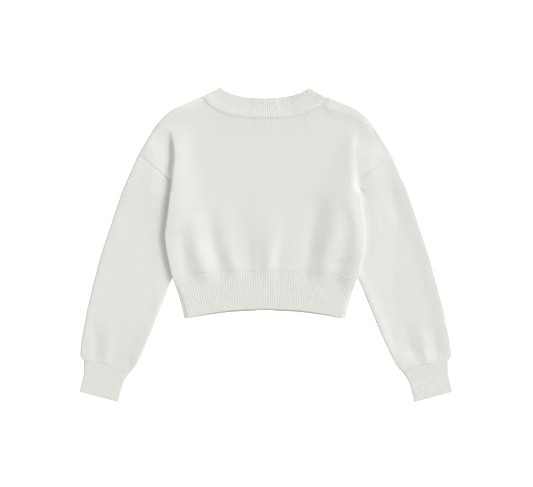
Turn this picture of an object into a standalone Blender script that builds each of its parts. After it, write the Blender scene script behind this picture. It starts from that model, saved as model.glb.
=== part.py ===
"""Cropped knitted cardigan, buttoned and laid flat on its front, with its back showing.

Frame: metres, +Z up. The garment lies on Z = 0 with its neck towards +Y, and the origin is
under the middle of its outline. Left and right are the wearer's, seen from behind, so the
right sleeve is at +X.

The tables are in millimetres. In them, out is the distance from the centre line, on either
side, and up is the distance towards the neck.
"""
import math
from typing import NamedTuple

import bmesh
import bpy
import numpy as np

MM = 0.001
LEFT, RIGHT = -1, 1
SIDE_NAMES = {LEFT: "left", RIGHT: "right"}

# Cloth and gaps.
WALL = 2.0            # knitted panel
BAND_WALL = 1.8       # front bands
SEAM_GAP = 0.3        # between two pieces at a seam
CURVED_SEAM_GAP = 0.7  # where a coarse edge follows a finely ribbed one
NECK_CORNER_GAP = 1.2  # between the neckband and the strip over the shoulder
RIB_HEIGHT = 0.9

# Heights of the layers above the floor.
FOLD_RADIUS = 5.0     # rounding at a folded edge, measured flat
FOLD_HEIGHT = 3.0     # middle of a folded edge that rests on the floor
PANEL_LEVEL = 7.2     # upper face of the back, away from its edges
SHOULDER_LEVEL = 6.0  # upper face of the cloth beside the shoulder fold
SLEEVE_LOW = 5.0      # upper face of a sleeve where the body lies on it
SLEEVE_RISE = 2.0     # how much higher the free part of the sleeve is
SLEEVE_CLEAR = 5.4    # under face of the body where it lies on a sleeve
CLIMB_START = 33.0    # how far inside the sleeve's hidden edge the front begins to climb
CLIMB_RUN = 25.0
ARMHOLE_LEAD = 14.0   # how far above the sleeve's end the front is already up on it
CUFF_LEVEL = 5.2
LAYER_GAP = 1.1       # least air between the back and the fronts

# Front closing: buttons on the floor, the buttonhole band on them, the button band on that.
BAND_HALF_WIDTH = 16.0
BUTTONHOLE_BAND_LOW = 2.3
BUTTON_BAND_LOW = 4.4
BAND_BUMP = 1.6       # how much the back rises over the bands
BAND_RAMP = 27.0
BUTTON_COUNT = 6
BUTTON_RADIUS = 9.0
BUTTON_THICKNESS = 2.0
BUTTON_FIRST_UP = -112.0
BUTTON_PITCH = 65.0

# Ribs: how many on each piece.
HEM_RIBS = 70
NECK_RIBS = 52
CUFF_RIBS = 16


class Point(NamedTuple):
    """A place in the plan."""
    out: float
    up: float


class ShoulderRow(NamedTuple):
    """One section across the shoulder: the folded outline, and the seam on the back."""
    fold: Point
    right_seam: Point
    left_seam: Point


class SleeveRow(NamedTuple):
    """One section across the sleeve, from its inner folded edge to its outer one."""
    inner: Point
    outer: Point


class Crease(NamedTuple):
    """A soft ridge, or a trough where its height is negative. Its x is signed."""
    x_low: float
    up_low: float
    x_high: float
    up_high: float
    width: float
    height: float


# Side fold of the body, and above the underarm the crease that runs on from it.
BODY_SIDE = (Point(161.2, -148), Point(163.8, -135), Point(169.8, -111), Point(177.8, -87),
             Point(181.5, -74), Point(185, -67), Point(190, -45), Point(195.5, -21),
             Point(199, 3), Point(200.5, 17), Point(197.5, 41), Point(192.5, 79),
             Point(189, 117), Point(186, 155), Point(184, 179), Point(190, 229))

# Seam between the body and its ribbed hem, and the lower edges of the hem.
HEM_SEAM = (Point(0, -51), Point(84, -54), Point(106, -55), Point(140, -58),
            Point(165, -69), Point(182, -73))
BACK_HEM_EDGE = (Point(0, -126), Point(66, -129), Point(100, -133), Point(134, -139),
                 Point(161, -148))
FRONT_HEM_DROP = 5.0

# The armhole is straight in the plan, from the shoulder fold to the underarm.
ARMHOLE_TOP = Point(252.5, 181)
UNDERARM = Point(162, 107)

# Neckband on the back: its open edge, and its seam to the panels.
NECK_EDGE = (Point(0, 291), Point(37.8, 293), Point(51.8, 296), Point(67.8, 299.6),
             Point(81.8, 305.5), Point(87.8, 313))
NECK_SEAM = (Point(0, 252), Point(31.8, 252.4), Point(51.8, 255), Point(67.8, 258),
             Point(83.8, 262), Point(98.4, 268), Point(113, 278), Point(127.5, 296))
FRONT_NECK_EDGE_UP = 236.0
FRONT_NECK_SEAM_UP = 197.0

SHOULDER = (
    ShoulderRow(Point(127.5, 296), Point(113, 278), Point(119.8, 286.5)),
    ShoulderRow(Point(140, 290.7), Point(132, 268.5), Point(137, 278.5)),
    ShoulderRow(Point(156, 283.7), Point(152, 263.8), Point(153, 270.5)),
    ShoulderRow(Point(180, 273), Point(176, 256.5), Point(176.5, 261)),
    ShoulderRow(Point(197, 261), Point(192, 245.5), Point(192.5, 252)),
    ShoulderRow(Point(209, 249), Point(204, 236.5), Point(204.5, 242)),
    ShoulderRow(Point(219, 237), Point(213.5, 229), Point(214.5, 231)),
    ShoulderRow(Point(234, 213), Point(229.5, 208.5), Point(229, 209)),
    ShoulderRow(ARMHOLE_TOP, Point(248.5, 177.7), Point(248.5, 177.7)),
)
CREASE_ROW = 3        # the shoulder row above the crease

SLEEVE = (
    SleeveRow(UNDERARM, ARMHOLE_TOP),
    SleeveRow(Point(159.5, 95), Point(262, 160)),
    SleeveRow(Point(158, 81), Point(270, 141)),
    SleeveRow(Point(157.5, 55), Point(284, 109)),
    SleeveRow(Point(159, 24), Point(297, 72)),
    SleeveRow(Point(164, -9), Point(308, 39)),
    SleeveRow(Point(171.5, -38), Point(318, 9)),
    SleeveRow(Point(183, -62), Point(326, -15)),
    SleeveRow(Point(193.5, -84), Point(333, -39)),
    SleeveRow(Point(203, -107), Point(339, -63)),
    SleeveRow(Point(212.5, -129), Point(346, -87)),
    SleeveRow(Point(222, -153), Point(352, -111)),
    SleeveRow(Point(231.5, -177), Point(358, -135)),
    SleeveRow(Point(241, -200), Point(362, -159)),
    SleeveRow(Point(249, -219), Point(367, -183)),
    SleeveRow(Point(257, -235), Point(369.5, -207)),
    SleeveRow(Point(264, -246), Point(368, -221)),
    SleeveRow(Point(273.5, -256), Point(362, -233)),
)
CUFF = (
    SleeveRow(Point(273.5, -256), Point(362, -233)),
    SleeveRow(Point(285, -274), Point(363, -258)),
    SleeveRow(Point(290.5, -293), Point(367, -276)),
    SleeveRow(Point(296, -312.5), Point(371, -292)),
)
CUFF_SEAM_BOW = 6.0   # the cuff's seam bows towards the sleeve
RIGHT_CUFF_SHIFT = 2.5  # the right cuff lies this much further out than the left one

BODY_CREASES = (
    Crease(-164, 118, -167, 226, 11, 2.0),
    Crease(-118, -44, -128, 92, 13, 2.2),
    Crease(-146, -58, -141, 8, 11, -1.8),
    Crease(-78, -56, -76, 8, 10, -1.8),
    Crease(-50, -52, -49, -20, 9, 1.6),
    Crease(-6, -50, -5, -12, 8, -1.2),
    Crease(52, -50, 56, 6, 10, 1.4),
    Crease(104, -56, 107, 34, 9, -2.4),
    Crease(136, -56, 136, 12, 10, 2.2),
    Crease(122, 2, 126, 100, 12, -1.8),
    Crease(164, -60, 163, 2, 8, -1.8),
    Crease(160, 100, 163, 192, 9, -1.6),
)
SLEEVE_CREASES = (
    Crease(-326, -230, -325, -180, 8, -1.6),
    Crease(-348, -226, -346, -170, 9, 1.2),
    Crease(-303, -238, -300, -178, 9, 1.3),
    Crease(311, -240, 309, -180, 9, -1.7),
    Crease(335, -232, 333, -176, 9, 1.2),
    Crease(289, -246, 286, -186, 9, 1.3),
)

BACK_BODY_ROWS = 12   # cells from the hem seam to the level of the underarm crossing
BACK_YOKE_ROWS = 7    # cells from there to the neck and shoulders
FRONT_BODY_ROWS = 8
FRONT_YOKE_ROWS = 7
BACK_NECK_COLUMNS = 9
FRONT_NECK_COLUMNS = 6
SHOULDER_STEPS = 2    # cells to each shoulder row on the body's side of the crease
SLEEVE_TOP_CELLS = 11
FOLD_ANGLES = (-90, -45, 0, 45, 90)


def ease(value: float) -> float:
    """Return 0 below 0, 1 above 1 and a smooth step between."""
    clamped = min(max(value, 0.0), 1.0)
    return clamped * clamped * (3 - 2 * clamped)


def mix(start: float, end: float, share: float) -> float:
    return start + (end - start) * share


def mix_points(start: Point, end: Point, share: float) -> Point:
    return Point(mix(start[0], end[0], share), mix(start[1], end[1], share))


def smooth_through(knots, values):
    """Return a function that runs smoothly through the values, with no overshoot."""
    knots = np.asarray(knots, float)
    values = np.asarray(values, float)
    spans = np.diff(knots)
    slopes = np.diff(values) / spans
    tangents = np.zeros_like(values)
    tangents[0], tangents[-1] = slopes[0], slopes[-1]
    for index in range(1, len(values) - 1):
        before, after = slopes[index - 1], slopes[index]
        if before * after > 0:
            tangents[index] = 2 * before * after / (before + after)

    def value_at(where: float) -> float:
        where = min(max(where, knots[0]), knots[-1])
        span = min(int(np.searchsorted(knots, where, side="right")) - 1, len(spans) - 1)
        step = (where - knots[span]) / spans[span]
        square, cube = step * step, step ** 3
        return float((2 * cube - 3 * square + 1) * values[span]
                     + (cube - 2 * square + step) * spans[span] * tangents[span]
                     + (3 * square - 2 * cube) * values[span + 1]
                     + (cube - square) * spans[span] * tangents[span + 1])

    return value_at


def smooth_path(points):
    """Return a function from 0..1, by length, to a point on the smooth line through points."""
    lengths = [0.0]
    for before, after in zip(points, points[1:]):
        lengths.append(lengths[-1] + math.dist(before, after))
    out_at = smooth_through(lengths, [point[0] for point in points])
    up_at = smooth_through(lengths, [point[1] for point in points])
    return lambda share: Point(out_at(share * lengths[-1]), up_at(share * lengths[-1]))


body_side = smooth_through([point.up for point in BODY_SIDE], [point.out for point in BODY_SIDE])
hem_seam = smooth_through([point.out for point in HEM_SEAM], [point.up for point in HEM_SEAM])
back_hem_edge = smooth_through([point.out for point in BACK_HEM_EDGE],
                               [point.up for point in BACK_HEM_EDGE])
neck_seam = smooth_through([point.out for point in NECK_SEAM], [point.up for point in NECK_SEAM])
sleeve_inner = smooth_through([-row.inner.up for row in SLEEVE], [row.inner.out for row in SLEEVE])


def armhole_out(up: float) -> float:
    """Return how far out the armhole seam is at a level."""
    share = (up - UNDERARM.up) / (ARMHOLE_TOP.up - UNDERARM.up)
    return mix(UNDERARM.out, ARMHOLE_TOP.out, share)


def crossing_up() -> float:
    """Return the level at which the body's side fold crosses the armhole seam."""
    low, high = UNDERARM.up, ARMHOLE_TOP.up
    for _ in range(40):
        middle = (low + high) / 2
        if armhole_out(middle) < body_side(middle):
            low = middle
        else:
            high = middle
    return low


CROSSING_UP = crossing_up()
SIDE_BOTTOM_UP = hem_seam(182)


def crease_height(creases, x: float, up: float) -> float:
    """Return how much the soft ridges and troughs add at a place."""
    total = 0.0
    for crease in creases:
        run_x, run_up = crease.x_high - crease.x_low, crease.up_high - crease.up_low
        length = math.hypot(run_x, run_up)
        along = ((x - crease.x_low) * run_x + (up - crease.up_low) * run_up) / length
        across = ((x - crease.x_low) * run_up - (up - crease.up_low) * run_x) / length
        past_end = max(-along, along - length, 0.0)
        total += crease.height * math.exp(-(across / crease.width) ** 2
                                          - (past_end / (1.6 * crease.width)) ** 2)
    return total


def sleeve_edge_under_body(up: float) -> float:
    """Return how far out the sleeve, or its armhole a little way below, begins."""
    if up <= UNDERARM.up:
        return sleeve_inner(-up)
    return armhole_out(max(up - ARMHOLE_LEAD, UNDERARM.up))


def front_low(x: float, up: float) -> float:
    """Return the under face of the fronts, which climb on to the sleeve and the bands."""
    out = abs(x)
    on_sleeve = 1 - ease((up - CROSSING_UP) / 25)
    beside_hem = ease((up + 112) / 34)
    reach = ease((out - (sleeve_edge_under_body(up) - CLIMB_START)) / CLIMB_RUN)
    band_low = BUTTONHOLE_BAND_LOW if x > 0 else BUTTON_BAND_LOW
    on_band = 1 - ease((out - BAND_HALF_WIDTH - 1) / BAND_RAMP)
    return SLEEVE_CLEAR * on_sleeve * beside_hem * reach + band_low * on_band


def sleeve_level(x: float, up: float) -> float:
    """Return the upper face of a sleeve, and of the back outside the body's side crease."""
    free = ease((abs(x) - body_side(max(up, -40)) - 2) / 45)
    near_cuff = ease((-205 - up) / 40) * ease((abs(x) - 255) / 20)
    level = mix(SLEEVE_LOW + SLEEVE_RISE * free, CUFF_LEVEL + 0.6, near_cuff)
    return level + crease_height(SLEEVE_CREASES, x, up) * (1 - 0.7 * near_cuff)


def shoulder_drop(x: float, up: float) -> float:
    """Return 0 at the shoulder fold and the neck, up to 1 well inside the panel."""
    fold_up = float(np.interp(abs(x), [row.fold.out for row in SHOULDER],
                              [row.fold.up for row in SHOULDER]))
    return ease((fold_up - up) / 70)


def upper_level(x: float, up: float) -> float:
    """Return the upper face of the back, its hem, its neckband and the shoulder strips."""
    out = abs(x)
    inside = shoulder_drop(x, up)
    bump = BAND_BUMP * (1 - ease((out - BAND_HALF_WIDTH - 4) / 35))
    level = mix(SHOULDER_LEVEL, PANEL_LEVEL, inside) + bump
    on_sleeve = SLEEVE_CLEAR * (1 - ease((up - CROSSING_UP) / 25)) * ease((up + 112) / 34)
    level += 0.6 * on_sleeve * ease((out - (sleeve_edge_under_body(up) - CLIMB_START)) / CLIMB_RUN)
    crease_depth = 1 - ease((up - 165) / 60)
    if up > UNDERARM.up:
        side = body_side(up)
        level += 2.6 * crease_depth * math.exp(-((out - side + 12) / 11) ** 2)
        beyond = ease((out - side + 3) / 7) * crease_depth
        level = mix(level, sleeve_level(x, up), beyond)
    above_hem = ease((up + 62) / 12)
    level += crease_height(BODY_CREASES, x, up) * mix(0.35, 1.0, above_hem)
    return max(level, front_low(x, up) + 2 * WALL + LAYER_GAP)


def fold_share(from_edge: float) -> float:
    """Return how far round a folded edge has turned, by the distance from the edge."""
    inwards = min(max(from_edge / FOLD_RADIUS, 0.0), 1.0)
    return math.sqrt(1 - (1 - inwards) ** 2)


def upper_side_fold(x: float, up: float, from_edge: float, amount: float):
    """Return the outer and inner heights of the back's wall beside the side fold."""
    level = upper_level(x, up)
    middle = (level + front_low(x, up)) / 2
    turn = mix(1.0, fold_share(from_edge), amount)
    outer = mix(middle + 0.55 * WALL, level, turn)
    return outer, max(outer - WALL, middle + SEAM_GAP / 2)


def lower_side_fold(x: float, up: float, from_edge: float, amount: float):
    """Return the outer and inner heights of a front's wall beside the side fold."""
    low = front_low(x, up)
    middle = (upper_level(x, up) + low) / 2
    turn = mix(1.0, fold_share(from_edge), amount)
    outer = mix(middle - 0.55 * WALL, low, turn)
    return outer, min(outer + WALL, middle - SEAM_GAP / 2)


def finish(name: str, colour, roughness: float):
    """Return a material with one colour and roughness."""
    material = bpy.data.materials.new(name)
    material.use_nodes = True
    shader = material.node_tree.nodes["Principled BSDF"]
    shader.inputs["Base Color"].default_value = (*colour, 1.0)
    shader.inputs["Roughness"].default_value = roughness
    shader.inputs["Metallic"].default_value = 0.0
    return material


def cloth_piece(name, collection, material, outer, inner, ring=False, keep=None):
    """Build one wall of cloth between two grids of points and close it round its edges.

    outer and inner are rows of (x, y, z) in millimetres. With ring the rows close on
    themselves. keep, where given, says whether the cell at (row, column) is part of the piece.
    """
    columns = len(outer[0])
    wall = bmesh.new()
    made = {}

    def corner(grid, key):
        if (id(grid), key) not in made:
            x, y, z = grid[key[0]][key[1]]
            made[(id(grid), key)] = wall.verts.new((x * MM, y * MM, z * MM))
        return made[(id(grid), key)]

    sides = {}
    for row in range(len(outer) - 1):
        for column in range(columns if ring else columns - 1):
            if keep is not None and not keep(row, column):
                continue
            following = (column + 1) % columns
            loop = ((row, column), (row, following), (row + 1, following), (row + 1, column))
            wall.faces.new([corner(outer, key) for key in loop])
            wall.faces.new([corner(inner, key) for key in reversed(loop)])
            for start, end in zip(loop, loop[1:] + loop[:1]):
                sides[(start, end)] = True
    for start, end in sides:
        if (end, start) not in sides:
            wall.faces.new([corner(outer, end), corner(outer, start),
                            corner(inner, start), corner(inner, end)])
    bmesh.ops.recalc_face_normals(wall, faces=wall.faces)
    mesh = bpy.data.meshes.new(name)
    wall.to_mesh(mesh)
    wall.free()
    mesh.shade_smooth()
    mesh.set_sharp_from_angle(angle=math.radians(50))
    mesh.materials.append(material)
    piece = bpy.data.objects.new(name, mesh)
    collection.objects.link(piece)
    return piece


def shoulder_rows(side: int):
    """Return (fold, seam) points along one shoulder, and the index above the crease."""
    rows = []
    for index, row in enumerate(SHOULDER):
        seam = row.right_seam if side == RIGHT else row.left_seam
        if rows and index <= CREASE_ROW:
            fold_before, seam_before = rows[-1]
            for step in range(1, SHOULDER_STEPS):
                share = step / SHOULDER_STEPS
                rows.append((mix_points(fold_before, row.fold, share),
                             mix_points(seam_before, seam, share)))
        rows.append((row.fold, seam))
    rows[0] = tuple(mix_points(first, second, NECK_CORNER_GAP / math.dist(first, second))
                    for first, second in zip(rows[0], rows[1]))
    return rows, CREASE_ROW * SHOULDER_STEPS


class Column(NamedTuple):
    """One column of a panel: where it tops out, and its place across the lower body."""
    top: Point
    across: float      # 0 at the centre line or front edge, 1 where the side fold begins
    round_fold: float  # 0 where the side fold begins, 1 at the very edge


def panel_columns(neck_tops, shoulder_tops, crease_index: int, first_out: float):
    """Return a panel's columns from the centre out to the side."""
    reach = shoulder_tops[crease_index].out - first_out
    columns = [Column(top, (top.out - first_out) / reach, 0.0)
               for top in neck_tops + shoulder_tops[:crease_index + 1]]
    edge_tops = shoulder_tops[crease_index + 1:]
    for index, top in enumerate(edge_tops, start=1):
        turned = 1 - (1 - index / len(edge_tops)) ** 1.6
        columns.append(Column(top, 1.0, turned))
    return columns


def panel_point(column: Column, first_out: float, low_share: float, high_share: float):
    """Return a panel's place in the plan, how far it is from its edge, and the fold's amount.

    low_share runs from the hem seam to the underarm crossing, high_share on to the top.
    """
    edge_up = mix(SIDE_BOTTOM_UP, CROSSING_UP, low_share)
    from_edge = FOLD_RADIUS * (1 - column.round_fold)
    inner_reach = body_side(edge_up) - FOLD_RADIUS - first_out
    out = first_out + inner_reach * column.across + FOLD_RADIUS * column.round_fold
    bottom_out = first_out + column.across * (body_side(SIDE_BOTTOM_UP) - FOLD_RADIUS - first_out)
    bottom_up = hem_seam(bottom_out + FOLD_RADIUS * column.round_fold) + CURVED_SEAM_GAP
    low_point = Point(out, mix(bottom_up, CROSSING_UP, low_share))
    amount = 1 - ease(high_share / 0.3)
    return mix_points(low_point, column.top, high_share), from_edge, amount


def row_shares(body_rows: int, yoke_rows: int):
    """Return the (low_share, high_share) pairs of a panel's rows."""
    lower = [(row / body_rows, 0.0) for row in range(body_rows)]
    return lower + [(1.0, row / yoke_rows) for row in range(yoke_rows + 1)]


def inset_armhole(point: Point) -> Point:
    """Return a point moved in from the armhole seam by half the seam's gap."""
    run = math.dist(UNDERARM, ARMHOLE_TOP)
    across = ((ARMHOLE_TOP.up - UNDERARM.up) / run, -(ARMHOLE_TOP.out - UNDERARM.out) / run)
    return Point(point.out - SEAM_GAP * across[0] - 0.1, point.up - SEAM_GAP * across[1])


def below_neck_seam(out: float) -> Point:
    """Return the place on the back panel's edge next to a place on the neck seam."""
    slope = neck_seam(out + 0.5) - neck_seam(max(out, 0.5) - 0.5)
    length = math.hypot(1.0, slope)
    gap = CURVED_SEAM_GAP if out else CURVED_SEAM_GAP / 2
    return Point(out + (gap * slope / length if out else 0.0), neck_seam(out) - gap / length)


def build_back(collection, material):
    """Build the back panel, from the hem seam to the neckband and the shoulder seams."""
    half_columns = {}
    for side in (LEFT, RIGHT):
        rows, crease_index = shoulder_rows(side)
        seams = [Point(seam.out - 0.1, seam.up - 1.5 * SEAM_GAP) for _, seam in rows]
        necks = [below_neck_seam(seams[0].out * step / BACK_NECK_COLUMNS)
                 for step in range(BACK_NECK_COLUMNS)]
        half_columns[side] = panel_columns(necks, seams, crease_index, 0.0)
    across = [(LEFT, column) for column in reversed(half_columns[LEFT])]
    across += [(RIGHT, column) for column in half_columns[RIGHT][1:]]
    outer, inner = [], []
    for shares in row_shares(BACK_BODY_ROWS, BACK_YOKE_ROWS):
        outer_row, inner_row = [], []
        for side, column in across:
            place, from_edge, amount = panel_point(column, 0.0, *shares)
            if column.round_fold == 1.0:
                place = inset_armhole(place)
            x = side * place.out
            high, low = upper_side_fold(x, place.up, from_edge, amount)
            outer_row.append((x, place.up, high))
            inner_row.append((x, place.up, low))
        outer.append(outer_row)
        inner.append(inner_row)
    return cloth_piece("back", collection, material, outer, inner)


def fold_point(fold: Point, seam: Point, side: int, degrees: float):
    """Return the outer and inner points of a wall where it turns over the shoulder."""
    reach = math.dist(fold, seam)
    inwards = ((seam.out - fold.out) / reach, (seam.up - fold.up) / reach)
    angle = math.radians(degrees)

    def at(radius: float, half_height: float, middle: float):
        along = FOLD_RADIUS - radius * math.cos(angle)
        place = (side * (fold.out + inwards[0] * along), fold.up + inwards[1] * along)
        return (*place, middle + half_height * math.sin(angle))

    inner_place = Point(fold.out + inwards[0] * FOLD_RADIUS, fold.up + inwards[1] * FOLD_RADIUS)
    top = upper_level(side * inner_place.out, inner_place.up)
    half = (FOLD_HEIGHT if degrees < 0 else top - FOLD_HEIGHT)
    return (at(FOLD_RADIUS, half, FOLD_HEIGHT),
            at(FOLD_RADIUS - WALL, half - WALL, FOLD_HEIGHT))


def front_neck(edge_up: float, top: Point, share: float) -> Point:
    """Return a point on the front neck, a quarter ellipse from the shoulder to the centre."""
    angle = share * math.pi / 2
    centre_out = BAND_HALF_WIDTH + SEAM_GAP
    return Point(centre_out + (top.out - centre_out) * math.cos(angle),
                 top.up - (top.up - edge_up) * math.sin(angle))


def turned_in(fold: Point, seam: Point) -> Point:
    """Return the point where a shoulder fold has come down flat."""
    return mix_points(fold, seam, FOLD_RADIUS / math.dist(fold, seam))


def build_front(side: int, collection, material):
    """Build one front panel, which turns over the shoulder to its seam on the back."""
    rows, crease_index = shoulder_rows(side)
    first_out = BAND_HALF_WIDTH + SEAM_GAP
    flat_tops = [turned_in(fold, seam) for fold, seam in rows]
    necks = [front_neck(FRONT_NECK_SEAM_UP, flat_tops[0], 1 - step / FRONT_NECK_COLUMNS)
             for step in range(FRONT_NECK_COLUMNS)]
    necks = [Point(point.out, point.up - CURVED_SEAM_GAP) for point in necks]
    flat_tops[0] = Point(flat_tops[0].out + CURVED_SEAM_GAP, flat_tops[0].up)
    columns = panel_columns(necks, flat_tops, crease_index, first_out)
    first_shoulder = len(necks)
    outer, inner = [], []
    for shares in row_shares(FRONT_BODY_ROWS, FRONT_YOKE_ROWS):
        outer_row, inner_row = [], []
        for column in columns:
            place, from_edge, amount = panel_point(column, first_out, *shares)
            if column.round_fold == 1.0:
                place = inset_armhole(place)
            low, high = lower_side_fold(side * place.out, place.up, from_edge, amount)
            outer_row.append((side * place.out, place.up, low))
            inner_row.append((side * place.out, place.up, high))
        outer.append(outer_row)
        inner.append(inner_row)
    panel_rows = len(outer) - 1
    for degrees in FOLD_ANGLES[1:]:
        pairs = [fold_point(fold, seam, side, degrees) for fold, seam in rows]
        outer.append([pairs[0][0]] * first_shoulder + [pair[0] for pair in pairs])
        inner.append([pairs[0][1]] * first_shoulder + [pair[1] for pair in pairs])
    seam_row = [(side * seam.out, seam.up, upper_level(side * seam.out, seam.up))
                for _, seam in rows]
    outer.append([seam_row[0]] * first_shoulder + seam_row)
    inner.append([(x, y, z - WALL) for x, y, z in outer[-1]])
    return cloth_piece("front_" + SIDE_NAMES[side], collection, material, outer, inner,
                       keep=lambda row, column: row < panel_rows or column >= first_shoulder)


def tube_section(row: SleeveRow, bow: float, level_at, top_cells: int, rib=None):
    """Return the outer and inner rings of a flattened tube at one section, signed for +X.

    level_at gives the upper face at a place. rib, where given, adds to the upper face by the
    share across, and the under face stays flat on the floor.
    """
    width = math.dist(row.inner, row.outer)
    turn_share = FOLD_RADIUS / width
    top_shares = [mix(turn_share, 1 - turn_share, step / top_cells)
                  for step in range(top_cells + 1)]
    across = ((row.outer.out - row.inner.out) / width, (row.outer.up - row.inner.up) / width)

    def place(share: float) -> Point:
        bowed = bow * math.sin(math.pi * share)
        middle = mix_points(row.inner, row.outer, share)
        return Point(middle.out - bowed * across[1], middle.up + bowed * across[0])

    outer, inner = [], []

    def turn(edge_share: float, inwards: float, degrees: float):
        angle = math.radians(degrees)
        flat = place(edge_share + inwards * turn_share)
        level = level_at(flat)
        for ring, shrink in ((outer, 0.0), (inner, WALL)):
            half = (level - FOLD_HEIGHT if degrees > 0 else FOLD_HEIGHT) - shrink
            reach = (FOLD_RADIUS - shrink) * math.cos(angle) / width
            spot = place(edge_share + inwards * (turn_share - reach))
            ring.append((*spot, FOLD_HEIGHT + half * math.sin(angle)))

    for share in top_shares:
        spot = place(share)
        level = level_at(spot)
        lift = rib(share) if rib else 0.0
        outer.append((*spot, level + lift))
        inner.append((*spot, level - WALL))
    for degrees in (45, 0, -45):
        turn(1.0, -1.0, degrees)
    for share in (1 - turn_share, 0.66, 0.34, turn_share):
        spot = place(share)
        outer.append((*spot, 0.0))
        inner.append((*spot, WALL))
    for degrees in (-45, 0, 45):
        turn(0.0, 1.0, degrees)
    return outer, inner


def mirror_rows(rows, side: int):
    return [[(side * x, y, z) for x, y, z in row] for row in rows]


def shorten(row: SleeveRow, following: SleeveRow, gap: float) -> SleeveRow:
    """Return a section moved towards the following one by a seam's gap."""
    inner_share = gap / math.dist(row.inner, following.inner)
    outer_share = gap / math.dist(row.outer, following.outer)
    return SleeveRow(mix_points(row.inner, following.inner, inner_share),
                     mix_points(row.outer, following.outer, outer_share))


def placed_rows(rows, side: int):
    """Return a sleeve's or cuff's sections as they lie on one side."""
    def place(point: Point) -> Point:
        shift = RIGHT_CUFF_SHIFT * ease((-150 - point.up) / 100) if side == RIGHT else 0.0
        return Point(point.out + shift, point.up)

    return [SleeveRow(place(row.inner), place(row.outer)) for row in rows]


def build_sleeve(side: int, collection, material):
    """Build one sleeve, a flattened tube from the armhole to the cuff."""
    outer, inner = [], []
    rows = placed_rows(SLEEVE, side)
    rows[0] = shorten(rows[0], rows[1], SEAM_GAP)
    rows[-1] = shorten(rows[-1], rows[-2], SEAM_GAP)
    for index, row in enumerate(rows):
        bow = CUFF_SEAM_BOW * ease((index - len(rows) + 4) / 3)
        rings = tube_section(row, bow, lambda place: sleeve_level(side * place.out, place.up),
                             SLEEVE_TOP_CELLS)
        outer.append(rings[0])
        inner.append(rings[1])
    return cloth_piece("sleeve_" + SIDE_NAMES[side], collection, material,
                       mirror_rows(outer, side), mirror_rows(inner, side), ring=True)


def rib_lift(share: float, ribs: int) -> float:
    """Return how much a rib stands out at a share across a row of them."""
    return RIB_HEIGHT * 0.5 * (1 - math.cos(2 * math.pi * ribs * share))


def build_cuff(side: int, collection, material):
    """Build one cuff, a narrower flattened tube with ribs on its upper side."""
    outer, inner = [], []
    for index, row in enumerate(placed_rows(CUFF, side)):
        level = CUFF_LEVEL + (0.6 if index == 0 else 0.0)
        rings = tube_section(row, CUFF_SEAM_BOW * (1 - index / (len(CUFF) - 1)),
                             lambda place: level, 2 * CUFF_RIBS,
                             lambda share: rib_lift(share, CUFF_RIBS) - 0.4)
        outer.append(rings[0])
        inner.append(rings[1])
    return cloth_piece("cuff_" + SIDE_NAMES[side], collection, material,
                       mirror_rows(outer, side), mirror_rows(inner, side), ring=True)


def hem_point(share: float, down: float, drop: float):
    """Return the place in a hem at a share out from the centre and a share down from its seam."""
    top_out = share * body_side(SIDE_BOTTOM_UP)
    bottom_out = share * BODY_SIDE[0].out
    top_up = hem_seam(top_out)
    bottom_up = back_hem_edge(bottom_out) - drop * (1 - share ** 4)
    edge_up = mix(SIDE_BOTTOM_UP, BODY_SIDE[0].up, down)
    return Point(share * body_side(edge_up), mix(top_up, bottom_up, down))


def build_back_hem(collection, material):
    """Build the back's ribbed hem."""
    half = HEM_RIBS
    outer, inner = [], []
    for down in (0.0, 0.5, 1.0):
        outer_row, inner_row = [], []
        for step in range(-half, half + 1):
            share = step / half
            place = hem_point(abs(share), down, 0.0)
            x = math.copysign(place.out, share)
            from_edge = place.out / max(abs(share), 0.01) * (1 - abs(share))
            high, low = upper_side_fold(x, place.up, from_edge, 1.0)
            ribbed = fold_share(from_edge)
            lift = RIB_HEIGHT * (0.5 if step % 2 else -0.5) * ribbed
            outer_row.append((x, place.up, high + lift))
            inner_row.append((x, place.up, low))
        outer.append(outer_row)
        inner.append(inner_row)
    return cloth_piece("hem_back", collection, material, outer, inner)


def build_front_hem(side: int, collection, material):
    """Build one front's hem, which is plain because its outer face is the underside."""
    first_share = (BAND_HALF_WIDTH + SEAM_GAP) / body_side(SIDE_BOTTOM_UP)
    edge_share = 1 - FOLD_RADIUS / BODY_SIDE[0].out
    shares = [mix(first_share, edge_share, step / 8) for step in range(9)]
    shares += [mix(edge_share, 1.0, turned) for turned in (0.3, 0.6, 0.85, 1.0)]
    outer, inner = [], []
    for down in (0.0, 0.25, 0.5, 0.75, 1.0):
        outer_row, inner_row = [], []
        for share in shares:
            place = hem_point(share, down, FRONT_HEM_DROP)
            from_edge = place.out / share * (1 - share)
            out = place.out
            if share == first_share:
                out = BAND_HALF_WIDTH + SEAM_GAP
            x = side * out
            low, high = lower_side_fold(x, place.up, from_edge, 1.0)
            up = place.up - (CURVED_SEAM_GAP - SEAM_GAP if down == 0.0 else 0.0)
            outer_row.append((x, up, low))
            inner_row.append((x, up, high))
        outer.append(outer_row)
        inner.append(inner_row)
    return cloth_piece("hem_front_" + SIDE_NAMES[side], collection, material, outer, inner)


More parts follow.
